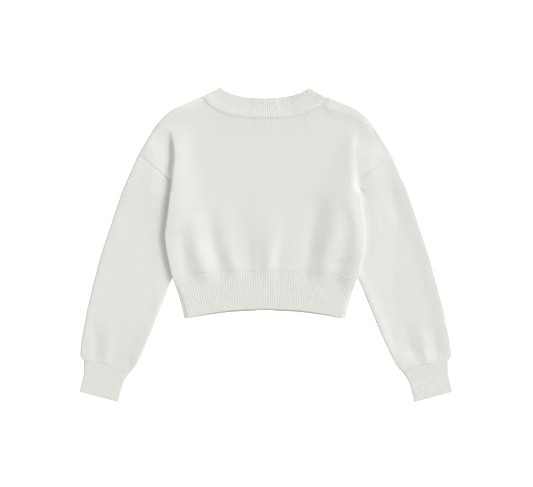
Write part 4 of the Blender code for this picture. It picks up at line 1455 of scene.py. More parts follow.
@dataclass
class BackPanel:
    """The back, in plain knit, from the hem's seam to the neckband and the shoulder seams."""

    pitch: float = 2.4
    fan_columns: int = 30
    lower_rows: int = 84
    upper_rows: int = 56
    neck_gap: float = 0.3
    flat: tuple[float, float] = (520.0, 362.0)
    wales_most: float = 0.8         # how much the wales stand out just under the neckband
    wales_end: tuple[Ramp, Ramp] = (Ramp(0, 44), Ramp(70, 36))      # below the neck, and outwards
    neck_dim_end: tuple[Ramp, Ramp] = (Ramp(0, 62), Ramp(90, 40))   # the same for the yoke's painted shade
    shoulder_dim_end: Ramp = Ramp(8, 50)    # how far below the shoulders the painted shade reaches
    shoulder_dim_from: Ramp = Ramp(232, 24)
    unmarked: float = 40.0          # added to distances from a seam where it doesn't show
    seam_slant: tuple[float, float] = (0.95, 0.6)
    seam_slant_turns: Ramp = Ramp(165, 45)
    shoulder_seam_from: Ramp = Ramp(113, 7)
    shoulder_slack: float = 0.8
    armhole_from: Ramp = Ramp(-8, 6)    # above the place where it crosses the body's side

    def half(self, side: Side) -> PanelCut:
        """Return one half's columns.

        Args:
            side: Which half.

        Returns:
            The columns from the centre to the side.
        """
        seam = shoulder_seam(side)
        crease_share = seam.shares()[SHOULDER_CREASE]
        corner_out = seam.points[0].out
        neck_out = spaced(0.0, corner_out, self.pitch)
        neck = grid(neck_out, PLAN.neck_seam(neck_out) - self.neck_gap)
        length = seam.points[SHOULDER_CREASE].out - corner_out
        over = seam.at(spaced(0.0, crease_share, self.pitch / length * crease_share))[1:]
        index = np.arange(1, self.fan_columns + 1) / self.fan_columns
        fan = seam.at(mix(crease_share, 1.0, index))
        tops = np.concatenate([neck, over, fan])
        reach = over[-1, 0]
        across = np.concatenate([neck[:, 0] / reach, over[:, 0] / reach, np.ones(len(fan))])
        turned = np.concatenate([np.zeros(len(neck) + len(over)), fan_turn(index)])
        return PanelCut(0.0, tops, across, turned)

    def wall(self) -> ClothWall:
        """Return the panel's wall, with its marks."""
        low, high = row_shares(self.lower_rows, self.upper_rows)
        outers, inners, seams = [], [], []
        for side in Side:
            out, up, from_edge, amount = self.half(side).places(low, high)
            x = side.value * out
            from_seam = self.from_seam(side, out, up)
            level = RELIEF.upper_level(x, up)
            level = level - RELIEF.seam_dip(from_seam, RELIEF.armhole_dip(side))
            turn = mix(1.0, RELIEF.fold_share(from_edge, x), amount)
            top, under = RELIEF.back_faces(level, RELIEF.front_low(x, up), turn)
            order = slice(None, None, -1) if side is Side.LEFT else slice(1, None)
            seams.append(from_seam[:, order] * MM)
            outers.append(grid(x, up, top)[:, order])
            inners.append(grid(x, up, under)[:, order])
        outer, inner, from_seam = (np.concatenate(halves, axis=1)
                                   for halves in (outers, inners, seams))
        out, up = np.abs(outer[..., 0]), outer[..., 1]
        marks = {FROM_SEAM: from_seam, WALES: self.wale_share(out, up),
                 PAINTED_YOKE_SHADE: self.dimmed(out, up)}
        return ClothWall(outer, inner, outer[..., :2].copy(), marks=marks)

    def wale_share(self, out: Array, up: Array) -> Array:
        """Return how much the wales stand out, which they do under the neckband."""
        below_neck = PLAN.neck_seam(out) - up
        down, outwards = self.wales_end
        return self.wales_most * (1 - down(below_neck)) * (1 - outwards(out))

    def dimmed(self, out: Array, up: Array) -> Array:
        """Return how much painted shade darkens the yoke, below the neck and shoulders."""
        down, outwards = self.neck_dim_end
        neck = 1 - down(PLAN.neck_seam(out) - up)
        shoulder = 1 - self.shoulder_dim_end(PLAN.shoulder_fold(out) - up)
        return np.maximum(neck * (1 - outwards(out)), shoulder * self.shoulder_dim_from(up))

    def from_seam(self, side: Side, out: Array, up: Array) -> Array:
        """Return how far places are from the armhole's seam, and from the right shoulder's.

        Args:
            side: Which side they are on.
            out: The places out from the centre line.
            up: The places towards the neck.

        Returns:
            The distances in millimetres.
        """
        hidden = self.unmarked * (1 - self.armhole_from(up - PLAN.crossing_up))
        armhole = (np.abs(PLAN.armhole_distance(out, up))
                   + (hidden + RELIEF.armhole_slack(side)))
        if side is Side.LEFT:
            return armhole
        slant = mix(*self.seam_slant, self.seam_slant_turns(out))
        hidden = self.unmarked * (1 - self.shoulder_seam_from(out))
        shoulder = np.abs(PLAN.right_shoulder_seam(out) - up) * slant + hidden
        return np.minimum(shoulder + self.shoulder_slack, armhole)

    def build(self, material: bpy.types.Material, trims: Sequence[bpy.types.Object]) -> None:
        """Build the back."""
        cut = Cut("back", Slot.KNIT, self.flat, ("front_left", "front_right"))
        cut.lay(self.wall(), material)


@dataclass
class FrontPanel:
    """One front, which lies underneath and turns over the shoulder to its seam on the back."""

    side: Side
    lower_rows: int = 34
    upper_rows: int = 26
    fan_columns: int = 28
    turn_rows: int = 13
    strip_rows: int = 11
    right_radius: float = 3.5   # how softly the strip turns over each shoulder
    left_radius: float = 6.5
    most_turn: float = 0.9      # the most of the strip's width that the turn takes up
    neck_gap: float = 0.7
    flat: tuple[float, float] = (245.0, 372.0)
    first_out: float = 16.3     # where the front begins, beside its band
    wales_most: float = 0.8
    wales_end: Ramp = Ramp(108, 42)
    right_seam_dip: float = 0.1
    left_seam_dip: float = 0.03

    def columns(self) -> tuple[PanelCut, Array, Array, int]:
        """Return the panel's columns, the lines over the shoulder, and where they begin.

        Returns:
            The columns, the shoulder's fold and seam as places, and how many columns end at
            the neckline before them.
        """
        seam_path = shoulder_seam(self.side)
        fold_path = PlanPath(tuple(row.fold for row in SHOULDER))
        shares = seam_path.shares()
        crease_share = shares[SHOULDER_CREASE]
        index = np.arange(1, self.fan_columns + 1) / self.fan_columns
        along = np.concatenate([spaced(0.001, crease_share, crease_share / 20),
                                mix(crease_share, 1.0, index)])
        row_at = np.interp(along, shares, np.arange(len(SHOULDER)))
        fold_share = np.interp(row_at, np.arange(len(SHOULDER)), fold_path.shares())
        fold, seam = fold_path.at(fold_share), seam_path.at(along)
        reach = np.linalg.norm(seam - fold, axis=1, keepdims=True)
        flat = fold + (seam - fold) * np.minimum(RELIEF.fold_radius / reach, self.most_turn)
        angle = (1 - spaced(0.0, 1.0, 0.05)[:-1]) * math.pi / 2
        first_out, top_up = flat[0]
        neck_up = top_up - (top_up - FRONT_NECK_SEAM_UP) * np.sin(angle) - self.neck_gap
        neck = grid(self.first_out + (first_out - self.first_out) * np.cos(angle), neck_up)
        tops = np.concatenate([neck, flat])
        crease_index = len(along) - len(index) - 1
        last = flat[crease_index, 0] - self.first_out
        body = np.concatenate([neck, flat[:crease_index + 1]])
        across = np.concatenate([(body[:, 0] - self.first_out) / last, np.ones(len(index))])
        turned = np.concatenate([np.zeros(len(body)), fan_turn(index)])
        return PanelCut(self.first_out, tops, across, turned), fold, seam, len(neck)

    def wall(self) -> ClothWall:
        """Return the panel's wall, with the strip that turns over the shoulder."""
        cut, fold, seam, first = self.columns()
        low, high = row_shares(self.lower_rows, self.upper_rows)
        out, up, from_edge, amount = cut.places(low, high)
        x = self.side.value * out
        turn = mix(1.0, RELIEF.fold_share(from_edge, x), amount)
        bottom, top = RELIEF.front_faces(RELIEF.upper_level(x, up), RELIEF.front_low(x, up),
                                         turn)
        outer, inner, flat = [grid(x, up, bottom)], [grid(x, up, top)], [grid(x, up)]
        reach = np.linalg.norm(seam - fold, axis=1)
        softness = self.left_radius if self.side is Side.LEFT else self.right_radius
        radius = np.minimum(softness, self.most_turn * reach)
        inwards = (seam - fold) / reach[:, None]
        for degrees in np.linspace(-90, 90, self.turn_rows)[1:]:
            angle = math.radians(degrees)
            level = self.strip_level(fold + inwards * radius[:, None], seam)
            half = RELIEF.fold_height if degrees < 0 else level - RELIEF.fold_height
            for rows, shrink in ((outer, 0.0), (inner, RELIEF.wall)):
                along = radius - (radius - shrink) * math.cos(angle)
                spot = fold + inwards * along[:, None]
                height = RELIEF.fold_height + (half - shrink) * math.sin(angle)
                rows.append(self.padded_row(spot, np.broadcast_to(height, reach.shape), first))
            flat.append(self.flat_row(fold, first, math.radians(degrees + 90) * radius))
        for step in np.arange(1, self.strip_rows + 1) / self.strip_rows:
            spot = fold + inwards * mix(radius, reach, step)[:, None]
            level = self.strip_level(spot, seam)
            outer.append(self.padded_row(spot, level, first))
            inner.append(self.padded_row(spot, level - RELIEF.wall, first))
            flat.append(self.flat_row(fold, first, math.pi * radius + (reach - radius) * step))
        rows = np.concatenate(outer), np.concatenate(inner), np.concatenate(flat)
        keep = np.ones((rows[0].shape[0] - 1, rows[0].shape[1] - 1), bool)
        keep[len(low) - 1:, :first] = False
        return ClothWall(*rows, keep=keep, marks=self.strip_marks(rows[0], seam, first))

    def strip_marks(self, points: Array, seam: Array, first: int) -> dict[str, Array]:
        """Return the marks of the strip over the right shoulder, whose seam shows.

        Args:
            points: The wall's outer grid.
            seam: The seam's places, one for each column from the first one on.
            first: How many columns end at the neckline before the strip.

        Returns:
            The marks by name, none on the left side.
        """
        if self.side is Side.LEFT:
            return {}
        from_seam = np.full(points.shape[:2], FAR)
        wales = np.zeros(points.shape[:2])
        strip = slice(-self.strip_rows - 1, None), slice(first, None)
        gap = np.linalg.norm(np.abs(points[strip][..., :2]) - np.abs(seam), axis=2)
        from_seam[strip] = (gap + BackPanel.shoulder_slack) * MM
        wales[strip] = self.wales_most * (1 - self.wales_end(seam[:, 0]))
        return {FROM_SEAM: from_seam, WALES: wales}

    def strip_level(self, spot: Array, seam: Array) -> Array:
        """Return the strip's upper face, which sinks at the seam."""
        from_seam = np.linalg.norm(seam - spot, axis=1)
        level = RELIEF.upper_level(self.side.value * spot[:, 0], spot[:, 1])
        depth = self.right_seam_dip if self.side is Side.RIGHT else self.left_seam_dip
        return level - RELIEF.seam_dip(from_seam, depth)

    def padded_row(self, spot: Array, height: Array, first: int) -> Array:
        """Return one row over the shoulder, with unused points where the neck is."""
        row = np.column_stack([self.side.value * spot[:, 0], spot[:, 1], height])
        return np.concatenate([np.repeat(row[:1], first, axis=0), row])[None]

    def flat_row(self, fold: Array, first: int, past: Array) -> Array:
        """Return one row's places in the flat cloth."""
        row = np.column_stack([self.side.value * fold[:, 0], fold[:, 1] + past])
        return np.concatenate([np.repeat(row[:1], first, axis=0), row])[None]

    def build(self, material: bpy.types.Material) -> None:
        """Build the front."""
        Cut(f"front_{self.side.word}", Slot.KNIT, self.flat).lay(self.wall(), material)


@dataclass
class Tube:
    """A flattened tube of cloth, such as a sleeve or a cuff, lying on the floor."""

    sections: Sequence[Section]
    side: Side
    pitch: float = 2.3        # millimetres between a sleeve's rows
    top_cells: int = 46
    turn_cells: int = 7
    bottom_cells: int = 12
    cuff_seam_bow: float = 6.0    # how far the cuff's seam bows towards the shoulder
    cuff_seam_dip: float = 0.05
    cuff_shift: float = 3.0   # the right cuff lies this much further out
    cuff_shift_from: Ramp = Ramp(-150, -100)
    left_shift: float = 1.6   # the left sleeve's lower half lies this much further in
    left_widening: float = 2.8
    right_widening: float = 1.0
    right_outwards: float = 0.6   # the share of it at the right sleeve's outer edge
    lower_from: Ramp = Ramp(-60, -60)

    def placed(self) -> list[Section]:
        """Return the sections as they lie on this side."""
        def place(point: Point, inside: bool) -> Point:
            """Return one point, moved as this side's sleeve lies."""
            lower = float(self.lower_from(point.up))
            if self.side is Side.LEFT:
                shift = self.left_shift + (self.left_widening if inside else 0.0)
                return Point(point.out - shift * lower, point.up)
            out = point.out + self.cuff_shift * float(self.cuff_shift_from(point.up))
            share = -1 if inside else self.right_outwards
            return Point(out + self.right_widening * lower * share, point.up)

        return [Section(place(row.inner, True), place(row.outer, False))
                for row in self.sections]

    def rings(self, shares: Array, bow: Array, level_at: Callable[[Array, Array], Array],
              lip: Array) -> ClothWall:
        """Return the tube's wall.

        Args:
            shares: Each row's share of the length.
            bow: How far each row's middle bows towards the shoulder.
            level_at: Gives the upper face at x and up.
            lip: The share of the wall's thickness left at each row.

        Returns:
            The wall. Its marks say which points are on the upper face, and how far across.
        """
        rows = self.placed()
        inner_edge = PlanPath(tuple(row.inner for row in rows)).at(shares)
        outer_edge = PlanPath(tuple(row.outer for row in rows)).at(shares)
        run = outer_edge - inner_edge
        width = np.linalg.norm(run, axis=1, keepdims=True)
        across = run / width
        radius = RELIEF.fold_radius
        turn = radius / width

        def place(share: Array) -> Array:
            """Return the plan's places at shares across, (rows, columns, 2)."""
            bowed = (bow[:, None] * np.sin(math.pi * share))[..., None]
            spot = inner_edge[:, None] + run[:, None] * share[..., None]
            return spot + bowed * np.stack([-across[:, 1], across[:, 0]], axis=-1)[:, None]

        angles = np.radians(np.linspace(90, -90, self.turn_cells + 2)[1:-1])
        top = mix(turn, 1 - turn, np.linspace(0, 1, self.top_cells + 1)[None])
        bottom = mix(1 - turn, turn, np.linspace(0, 1, self.bottom_cells + 1)[None])
        outer, inner = [], []
        for wall, shrink in ((outer, 0.0), (inner, RELIEF.wall)):
            def turned(edge: float, inwards: float, angle: Array) -> Array:
                """Return the points that turn round one folded edge."""
                flat = place(np.broadcast_to(edge + inwards * turn, (len(width), len(angle))))
                level = level_at(flat[..., 0], flat[..., 1])
                half = np.where(angle > 0, level - RELIEF.fold_height, RELIEF.fold_height)
                reach = (radius - shrink) * RELIEF.squared(np.cos(angle)) / width
                spot = place(edge + inwards * (turn - reach))
                height = RELIEF.fold_height + (half - shrink) * RELIEF.squared(np.sin(angle))
                return np.concatenate([spot, height[..., None]], axis=-1)

            spot = place(top)
            level = level_at(spot[..., 0], spot[..., 1])
            wall.append(np.concatenate([spot, (level - shrink)[..., None]], axis=-1))
            wall.append(turned(1.0, -1.0, angles))
            spot = place(bottom)
            height = np.full(spot.shape[:2], shrink)
            wall.append(np.concatenate([spot, height[..., None]], axis=-1))
            wall.append(turned(0.0, 1.0, angles[::-1]))
        outer_grid, inner_grid = thinned(np.concatenate(outer, axis=1),
                                         np.concatenate(inner, axis=1), lip[:, None, None])
        lengths = np.concatenate([[0], np.cumsum(np.linalg.norm(np.diff(
            (inner_edge + outer_edge) / 2, axis=0), axis=1))])
        steps = np.linalg.norm(np.diff(outer_grid, axis=1, append=outer_grid[:, :1]), axis=2)
        girth = np.concatenate([np.zeros((len(width), 1)), np.cumsum(steps, axis=1)], axis=1)
        flat = grid(girth[:, :-1] - width / 2, -lengths[:, None])
        for points in (outer_grid, inner_grid):
            points[..., 0] *= self.side.value
        mark, share = np.zeros((2, *outer_grid.shape[:2]))
        mark[:, :self.top_cells + 1] = 1.0
        share[:, :self.top_cells + 1] = top
        return ClothWall(outer_grid, inner_grid, flat, ring=True, ring_width=girth[:, -1],
                         marks={"top": mark, "across": share})


@dataclass
class Sleeve(Tube):
    """A plain knit sleeve, from the armhole to the cuff's seam."""

    sections: Sequence[Section] = SLEEVE
    side: Side = Side.LEFT
    armhole_gap: float = 0.4
    cuff_gap: float = 0.05
    bow_from: Ramp = Ramp(0.88, 0.12)   # the share of the length where its rows begin to bow
    flat: tuple[float, float] = (262.0, 440.0)

    def level(self, x_out: Array, up: Array) -> Array:
        """Return the sleeve's upper face, which sinks at the armhole's seam."""
        level = RELIEF.sleeve_level(self.side.value * x_out, up)
        distance = PLAN.armhole_distance(x_out, up)
        return level - RELIEF.seam_dip(distance, RELIEF.armhole_dip(self.side))

    def build(self, material: bpy.types.Material, trims: Sequence[bpy.types.Object]) -> None:
        """Build the sleeve."""
        path = PlanPath(tuple(row.outer for row in self.sections))
        steps = np.linalg.norm(np.diff(np.array(path.points), axis=0), axis=1)
        length = float(steps.sum())
        shares = spaced(self.armhole_gap / length, 1 - self.cuff_gap / length,
                        self.pitch / length)
        bow = self.cuff_seam_bow * self.bow_from(shares)
        to_cuff = (1 - shares) * length
        wall = self.rings(shares, bow, self.level, np.ones(len(shares)))
        dip = RELIEF.seam_dip(to_cuff, self.cuff_seam_dip)[:, None] * wall.marks["top"]
        wall.outer[..., 2] -= dip
        wall.inner[..., 2] -= dip
        spot = np.abs(wall.outer[..., 0]), wall.outer[..., 1]
        from_seam = np.abs(PLAN.armhole_distance(*spot)) + RELIEF.armhole_slack(self.side)
        wall.marks = {FROM_SEAM: from_seam * MM}
        Cut(f"sleeve_{self.side.word}", Slot.KNIT, self.flat).lay(wall, material)


@dataclass
class Cuff(Tube):
    """A ribbed cuff."""

    sections: Sequence[Section] = CUFF
    side: Side = Side.LEFT
    ribs: int = 16
    rib_height: float = 0.15
    top_cells: int = 128
    bottom_cells: int = 16
    length: float = 59.0
    row_pitch: float = 1.5
    lip_radius: float = 1.6
    seam_width: float = 20.0    # how far from its seam it is swollen
    edge_fade: float = 0.45     # how much its ribs still stand out at the open edge
    edge_run: float = 30.0
    flat: tuple[float, float] = (190.0, 60.0)

    def build(self, ribs: Grower, trims: Sequence[bpy.types.Object]) -> None:
        """Build the cuff and raise its ribs."""
        distance = np.concatenate([
            spaced(0.0, self.length - self.lip_radius - 1, self.row_pitch),
            self.length - self.lip_radius * LIP_STEPS[:0:-1]])
        shares = distance / self.length
        to_edge = self.length - distance
        lip = RELIEF.lip(to_edge, self.lip_radius)

        def level(out: Array, up: Array) -> Array:
            """Return the cuff's upper face."""
            return np.full(out.shape, RELIEF.cuff_level)

        wall = self.rings(shares, self.cuff_seam_bow * (1 - shares), level, lip)
        dip = RELIEF.seam_dip(distance, self.cuff_seam_dip)[:, None] * wall.marks["top"]
        swell = RELIEF.cuff_swell * hump(distance, self.seam_width)[:, None]
        wall.outer[..., 2] += swell * wall.marks["top"] - dip
        wall.inner[..., 2] += swell * wall.marks["top"] - dip
        fade = ease(distance / 2) * mix(self.edge_fade, 1.0, ease(to_edge / self.edge_run))
        wall.marks = {RIB_AT: wall.marks["across"] * self.ribs,
                      RIB_SHARE: wall.marks["top"] * (fade * lip)[:, None]}
        cut = Cut(f"cuff_{self.side.word}", Slot.RIB, self.flat)
        cut.lay(wall, ribs, self.rib_height)


@dataclass
class Hem:
    """The body's ribbed hem: the back's, or one front's."""

    ribs: int = 70
    samples: int = 8          # points to each rib
    drop: float = 0.0         # how far it hangs below the back's hem, in the plan
    lip_radius: float = 1.5
    row_pitch: float = 2.2
    length: float = 75.0

    def place(self, share: Array, down: Array) -> tuple[Array, Array]:
        """Return the places at shares out from the centre and down from the seam."""
        top_out = share * PLAN.body_side(PLAN.side_bottom_up)
        bottom_out = share * BODY_SIDE[0].out
        bottom_up = PLAN.back_hem_edge(bottom_out) - self.drop * (1 - share ** 4)
        edge_up = mix(PLAN.side_bottom_up, BODY_SIDE[0].up, down)
        return share * PLAN.body_side(edge_up), mix(PLAN.hem_seam(top_out), bottom_up, down)

    def downs(self) -> Array:
        """Return the rows' shares down, closer together at the rounded lower edge."""
        lip = self.lip_radius / self.length
        body = spaced(0.0, 1 - lip - 0.5 / self.length, self.row_pitch / self.length)
        return np.concatenate([body, 1 - lip * LIP_STEPS[::-1]])

    def lip(self, downs: Array) -> Array:
        """Return the share of the wall's thickness left at each row."""
        return RELIEF.lip((1 - downs) * self.length, self.lip_radius)


@dataclass
class BackHem(Hem):
    """The back's hem, whose ribs show."""

    rib_height: float = 0.26
    edge_roll: float = 1.4    # how much it falls towards its folded sides
    roll_width: float = 10.0
    roll_run: float = 26.0    # how far below its seam it has come to fall so
    seam_fade: float = 2.0    # how far below it the ribs are fully raised
    edge_fade: float = 0.75   # how much they still stand out at the lower edge
    flat: tuple[float, float] = (372.0, 77.0)

    def wall(self) -> ClothWall:
        """Return the hem's wall, with its ribs marked."""
        half = self.ribs * self.samples // 2
        signed = np.arange(-half, half + 1)[None] / half
        downs = self.downs()[:, None]
        share = np.abs(signed)
        out, up = self.place(share, downs)
        x = np.copysign(out, signed)
        from_edge = PLAN.body_side(mix(PLAN.side_bottom_up, BODY_SIDE[0].up, downs)) * (1 - share)
        down = downs * self.length
        rounded = (self.edge_roll * (1 - ease(from_edge / self.roll_width))
                   * ease(down / self.roll_run))
        turn = RELIEF.fold_share(from_edge, x)
        top, under = RELIEF.back_faces(RELIEF.upper_level(x, up) - rounded,
                                       RELIEF.front_low(x, up), turn)
        lip = self.lip(downs)
        top, under = thinned(top, under, lip)
        fade = ease(down / self.seam_fade) * mix(self.edge_fade, 1.0, ease((1 - downs) * 3))
        marks = {RIB_AT: np.broadcast_to(signed * self.ribs / 2, out.shape),
                 RIB_SHARE: turn * lip * fade}
        return ClothWall(grid(x, up, top), grid(x, up, under),
                         grid(signed * self.flat[0] / 2, -down), marks=marks)

    def build(self, ribs: Grower, trims: Sequence[bpy.types.Object]) -> None:
        """Build the hem and raise its ribs."""
        cut = Cut("hem_back", Slot.RIB, self.flat, ("hem_front_left", "hem_front_right"))
        cut.lay(self.wall(), ribs, self.rib_height)


@dataclass
class FrontHem(Hem):
    """One front's hem. Its outer face is the underside, and its lower edge shows past the back's."""

    side: Side = Side.LEFT
    drop: float = 3.0
    first_out: float = FrontPanel.first_out
    share_pitch: float = 0.012
    fold_steps: tuple[float, ...] = (0.2, 0.35, 0.5, 0.65, 0.8, 1.0)
    flat: tuple[float, float] = (171.0, 81.0)

    def build(self, material: bpy.types.Material) -> None:
        """Build the hem."""
        first = self.first_out / float(PLAN.body_side(PLAN.side_bottom_up))
        edge = 1 - RELIEF.fold_radius / BODY_SIDE[0].out
        share = np.concatenate([spaced(first, edge, self.share_pitch),
                                mix(edge, 1.0, ease(np.array(self.fold_steps)))])[None]
        downs = self.downs()[:, None]
        out, up = self.place(share, downs)
        out = out + (self.first_out - out) * (share <= first)
        x = self.side.value * out
        turn = RELIEF.fold_share(out / share * (1 - share), x)
        bottom, top = RELIEF.front_faces(RELIEF.upper_level(x, up), RELIEF.front_low(x, up),
                                         turn)
        top, bottom = thinned(top, bottom, self.lip(downs))
        wall = ClothWall(grid(x, up, bottom), grid(x, up, top), grid(x, up))
        Cut(f"hem_front_{self.side.word}", Slot.RIB, self.flat).lay(wall, material)


@dataclass
class Stations:
    """The stations of one half of the neckband, each with its points at the edge and the seam."""

    side: Side
    outer: list[list[tuple]] = field(default_factory=list)
    inner: list[list[tuple]] = field(default_factory=list)
    rib_at: list[float] = field(default_factory=list)       # each one's place along the ribs
    rib_share: list[float] = field(default_factory=list)    # how much its ribs stand out

    def add(self, outer: Sequence[tuple], inner: Sequence[tuple], rib_at: float = 0.0,
            rib_share: float = 0.0) -> None:
        """Add one station.

        Args:
            outer: Its outer points, each as out, up and height.
            inner: Its inner ones.
            rib_at: Its place along the ribs.
            rib_share: How much its ribs stand out.
        """
        for points, row in ((self.outer, outer), (self.inner, inner)):
            points.append([(self.side.value * out, up, height) for out, up, height in row])
        self.rib_at.append(rib_at)
        self.rib_share.append(rib_share)


@dataclass
class Neckband:
    """The ribbed neckband: fanned over the back neck, turned at the sides, plain in front."""

    ribs_each_side: int = 26
    rib_height: float = 0.32
    samples: int = 8
    turn_cells: int = 8
    front_cells: int = 24
    rows: int = 20
    right_fall: float = 0.9   # how much it falls from its seam to its open edge
    left_fall: float = 2.2
    corner_rise: float = 2.2  # how much higher its edge lies at its right corner
    seam_swell: float = 0.6   # how much it swells beside its seam
    swell_near: float = 3.6   # how far from the seam it is fully swollen
    swell_run: float = 22.0   # and how far past that the swelling ends
    seam_dip: float = 0.3
    seam_width: float = 2.0
    seam_fade: float = 2.0    # how far from the seam the ribs are fully raised
    fold_radius: float = 5.0  # how softly it turns at the sides
    centre_gap: float = 0.3   # how far beside the bands it ends in front
    lip_radius: float = 1.6
    flat: tuple[float, float] = (560.0, 39.0)

    def level(self, x: float, up: float, edge: bool) -> float:
        """Return the band's upper face at its open edge or at its seam."""
        level = float(RELIEF.upper_level(np.array(x), up))
        fall = float(mix(self.left_fall, self.right_fall, ease((x + 60) / 120)))
        fall = fall - self.corner_rise * float(ease((x - 30) / 58))
        return level - fall if edge else level

    def half(self, side: Side) -> Stations:
        """Return one half's stations from the front's centre to the back's.

        Args:
            side: Which half.

        Returns:
            The stations.
        """
        made = Stations(side)
        radius, sign = self.fold_radius, side.value
        lines, at_edge = (NECK_EDGE, NECK_SEAM), (True, False)
        ends = []
        for line in lines:
            fold, inwards = np.array(line[-1]), np.array(line[-2]) - np.array(line[-1])
            ends.append((fold, inwards / np.linalg.norm(inwards)))
        flats = [fold + inwards * radius for fold, inwards in ends]
        centre_out = RELIEF.band_half_width + self.centre_gap
        for share in 1 - np.arange(self.front_cells) / self.front_cells:
            angle = share * math.pi / 2
            spots = [(centre_out + (out - centre_out) * math.cos(angle),
                      up - (up - front_up) * math.sin(angle))
                     for (out, up), front_up in zip(flats, (FRONT_NECK_EDGE_UP,
                                                            FRONT_NECK_SEAM_UP))]
            lows = [float(RELIEF.front_low(sign * out, up)) for out, up in spots]
            made.add([(*spot, low) for spot, low in zip(spots, lows)],
                     [(*spot, low + RELIEF.wall) for spot, low in zip(spots, lows)])
        levels = [self.level(sign * out, up, edge) for (out, up), edge in zip(flats, at_edge)]
        for degrees in np.linspace(-90, 90, self.turn_cells + 1)[:-1]:
            angle = math.radians(degrees)
            faces = []
            for shrink in (0.0, RELIEF.wall):
                row = []
                for (fold, inwards), level in zip(ends, levels):
                    half = RELIEF.fold_height if degrees < 0 else level - RELIEF.fold_height
                    spot = fold + inwards * (radius - (radius - shrink) * math.cos(angle))
                    row.append((*spot, RELIEF.fold_height + (half - shrink) * math.sin(angle)))
                faces.append(row)
            made.add(*faces)
        paths = [PlanPath(tuple(line[:-1]) + (Point(*flat),)) for line, flat in zip(lines, flats)]
        count = self.ribs_each_side * self.samples
        for index in range(count):
            spots = [path.at(1 - index / count) for path in paths]
            tops = [self.level(sign * out, up, edge)
                    for (out, up), edge in zip(spots, at_edge)]
            rib_at = index / self.samples
            made.add([(*spot, top) for spot, top in zip(spots, tops)],
                     [(*spot, top - RELIEF.wall) for spot, top in zip(spots, tops)],
                     rib_at, float(ease(rib_at)))
        return made

    def wall(self) -> ClothWall:
        """Return the band's wall, with its ribs marked."""
        right, left = self.half(Side.RIGHT), self.half(Side.LEFT)
        middle = [(0.0, line[0].up, self.level(0.0, line[0].up, edge))
                  for line, edge in ((NECK_EDGE, True), (NECK_SEAM, False))]
        lowered = [(x, up, top - RELIEF.wall) for x, up, top in middle]
        outer = np.array([*right.outer, middle, *left.outer[::-1]])
        inner = np.array([*right.inner, lowered, *left.inner[::-1]])
        rib_at = np.array([*right.rib_at, self.ribs_each_side, *left.rib_at[::-1]])
        rib_share = np.array([*right.rib_share, 1.0, *left.rib_share[::-1]])
        lip = self.lip_radius / self.flat[1]
        share = np.concatenate([lip * LIP_STEPS, np.linspace(lip, 1.0, self.rows)[1:]])
        outer = mix(outer[:, :1], outer[:, 1:], share[None, :, None])
        inner = mix(inner[:, :1], inner[:, 1:], share[None, :, None])
        from_edge, to_seam = share * self.flat[1], (1 - share) * self.flat[1]
        swell = (self.seam_swell * ease(to_seam / self.swell_near)
                 * (1 - ease((to_seam - self.swell_near) / self.swell_run)))
        rise = swell - RELIEF.seam_dip(to_seam, self.seam_dip, self.seam_width)
        on_top = (rib_share > 0)[:, None]
        outer[..., 2] += rise * on_top
        inner[..., 2] += rise * on_top
        kept = RELIEF.lip(from_edge, self.lip_radius)
        outer, inner = thinned(outer, inner, kept[None, :, None])
        steps = np.linalg.norm(np.diff(outer[:, -1], axis=0), axis=1)
        along = np.concatenate([[0.0], np.cumsum(steps)])
        fade = ease(to_seam / self.seam_fade) * kept
        marks = {RIB_AT: np.broadcast_to(rib_at[:, None], outer.shape[:2]),
                 RIB_SHARE: rib_share[:, None] * fade}
        return ClothWall(outer, inner, grid(along[:, None], -from_edge), marks=marks)

    def build(self, ribs: Grower, trims: Sequence[bpy.types.Object]) -> None:
        """Build the band and raise its ribs."""
        cut = Cut("neckband", Slot.RIB, self.flat, ("front_left", "front_right"))
        cut.lay(self.wall(), ribs, self.rib_height)


@dataclass
class FrontBand:
    """One front band, a straight ribbed strip from the hem to the neck."""

    name: str
    low: float
    thick: float = 1.8
    half_width: float = RELIEF.band_half_width
    flat_half_width: float = 14.6
    column_pitch: float = 0.75
    row_pitch: float = 3.0
    rib_height: float = 0.12
    rib_pitch: float = 4.5
    ribs_end: tuple[float, float] = (14.0, 2.0)     # how far out the ribs end, and how softly
    bottom_up: float = -131.0
    top_up: float = FRONT_NECK_EDGE_UP
    lip_radius: float = 0.9
    lip_steps: tuple[float, ...] = (0.0, 0.1, 0.4, 1.0)

    def build(self, material: bpy.types.Material) -> None:
        """Build the band."""
        edge = self.lip_radius * np.array(self.lip_steps)
        across = np.concatenate([
            -self.half_width + edge,
            spaced(-self.flat_half_width, self.flat_half_width, self.column_pitch),
            self.half_width - edge[::-1]])[None]
        up = spaced(self.bottom_up, self.top_up, self.row_pitch)[:, None]
        lip = RELIEF.lip(self.half_width - np.abs(across), self.lip_radius)
        end, run = self.ribs_end
        ribs = (self.rib_height * np.cos(across * 2 * math.pi / self.rib_pitch)
                * ease((end - np.abs(across)) / run))
        middle = self.low + self.thick / 2
        half = (self.thick / 2 - self.rib_height + ribs) * lip
        wall = ClothWall(grid(across, up, middle - half), grid(across, up, middle + half),
                         grid(across, up))
        flat = (2 * self.half_width, self.top_up - self.bottom_up)
        Cut(self.name, Slot.RIB, flat).lay(wall, material)


BUTTON_OUTLINE = (
    (5.2, 0.42), (6.2, 0.3), (6.9, 0.08), (7.5, 0.0), (8.1, 0.03), (8.6, 0.2), (8.9, 0.55),
    (9.0, 0.95), (8.95, 1.3), (8.7, 1.6), (8.2, 1.8), (7.0, 1.95), (4.0, 2.0), (1.0, 2.0),
    (0.0, 2.0))


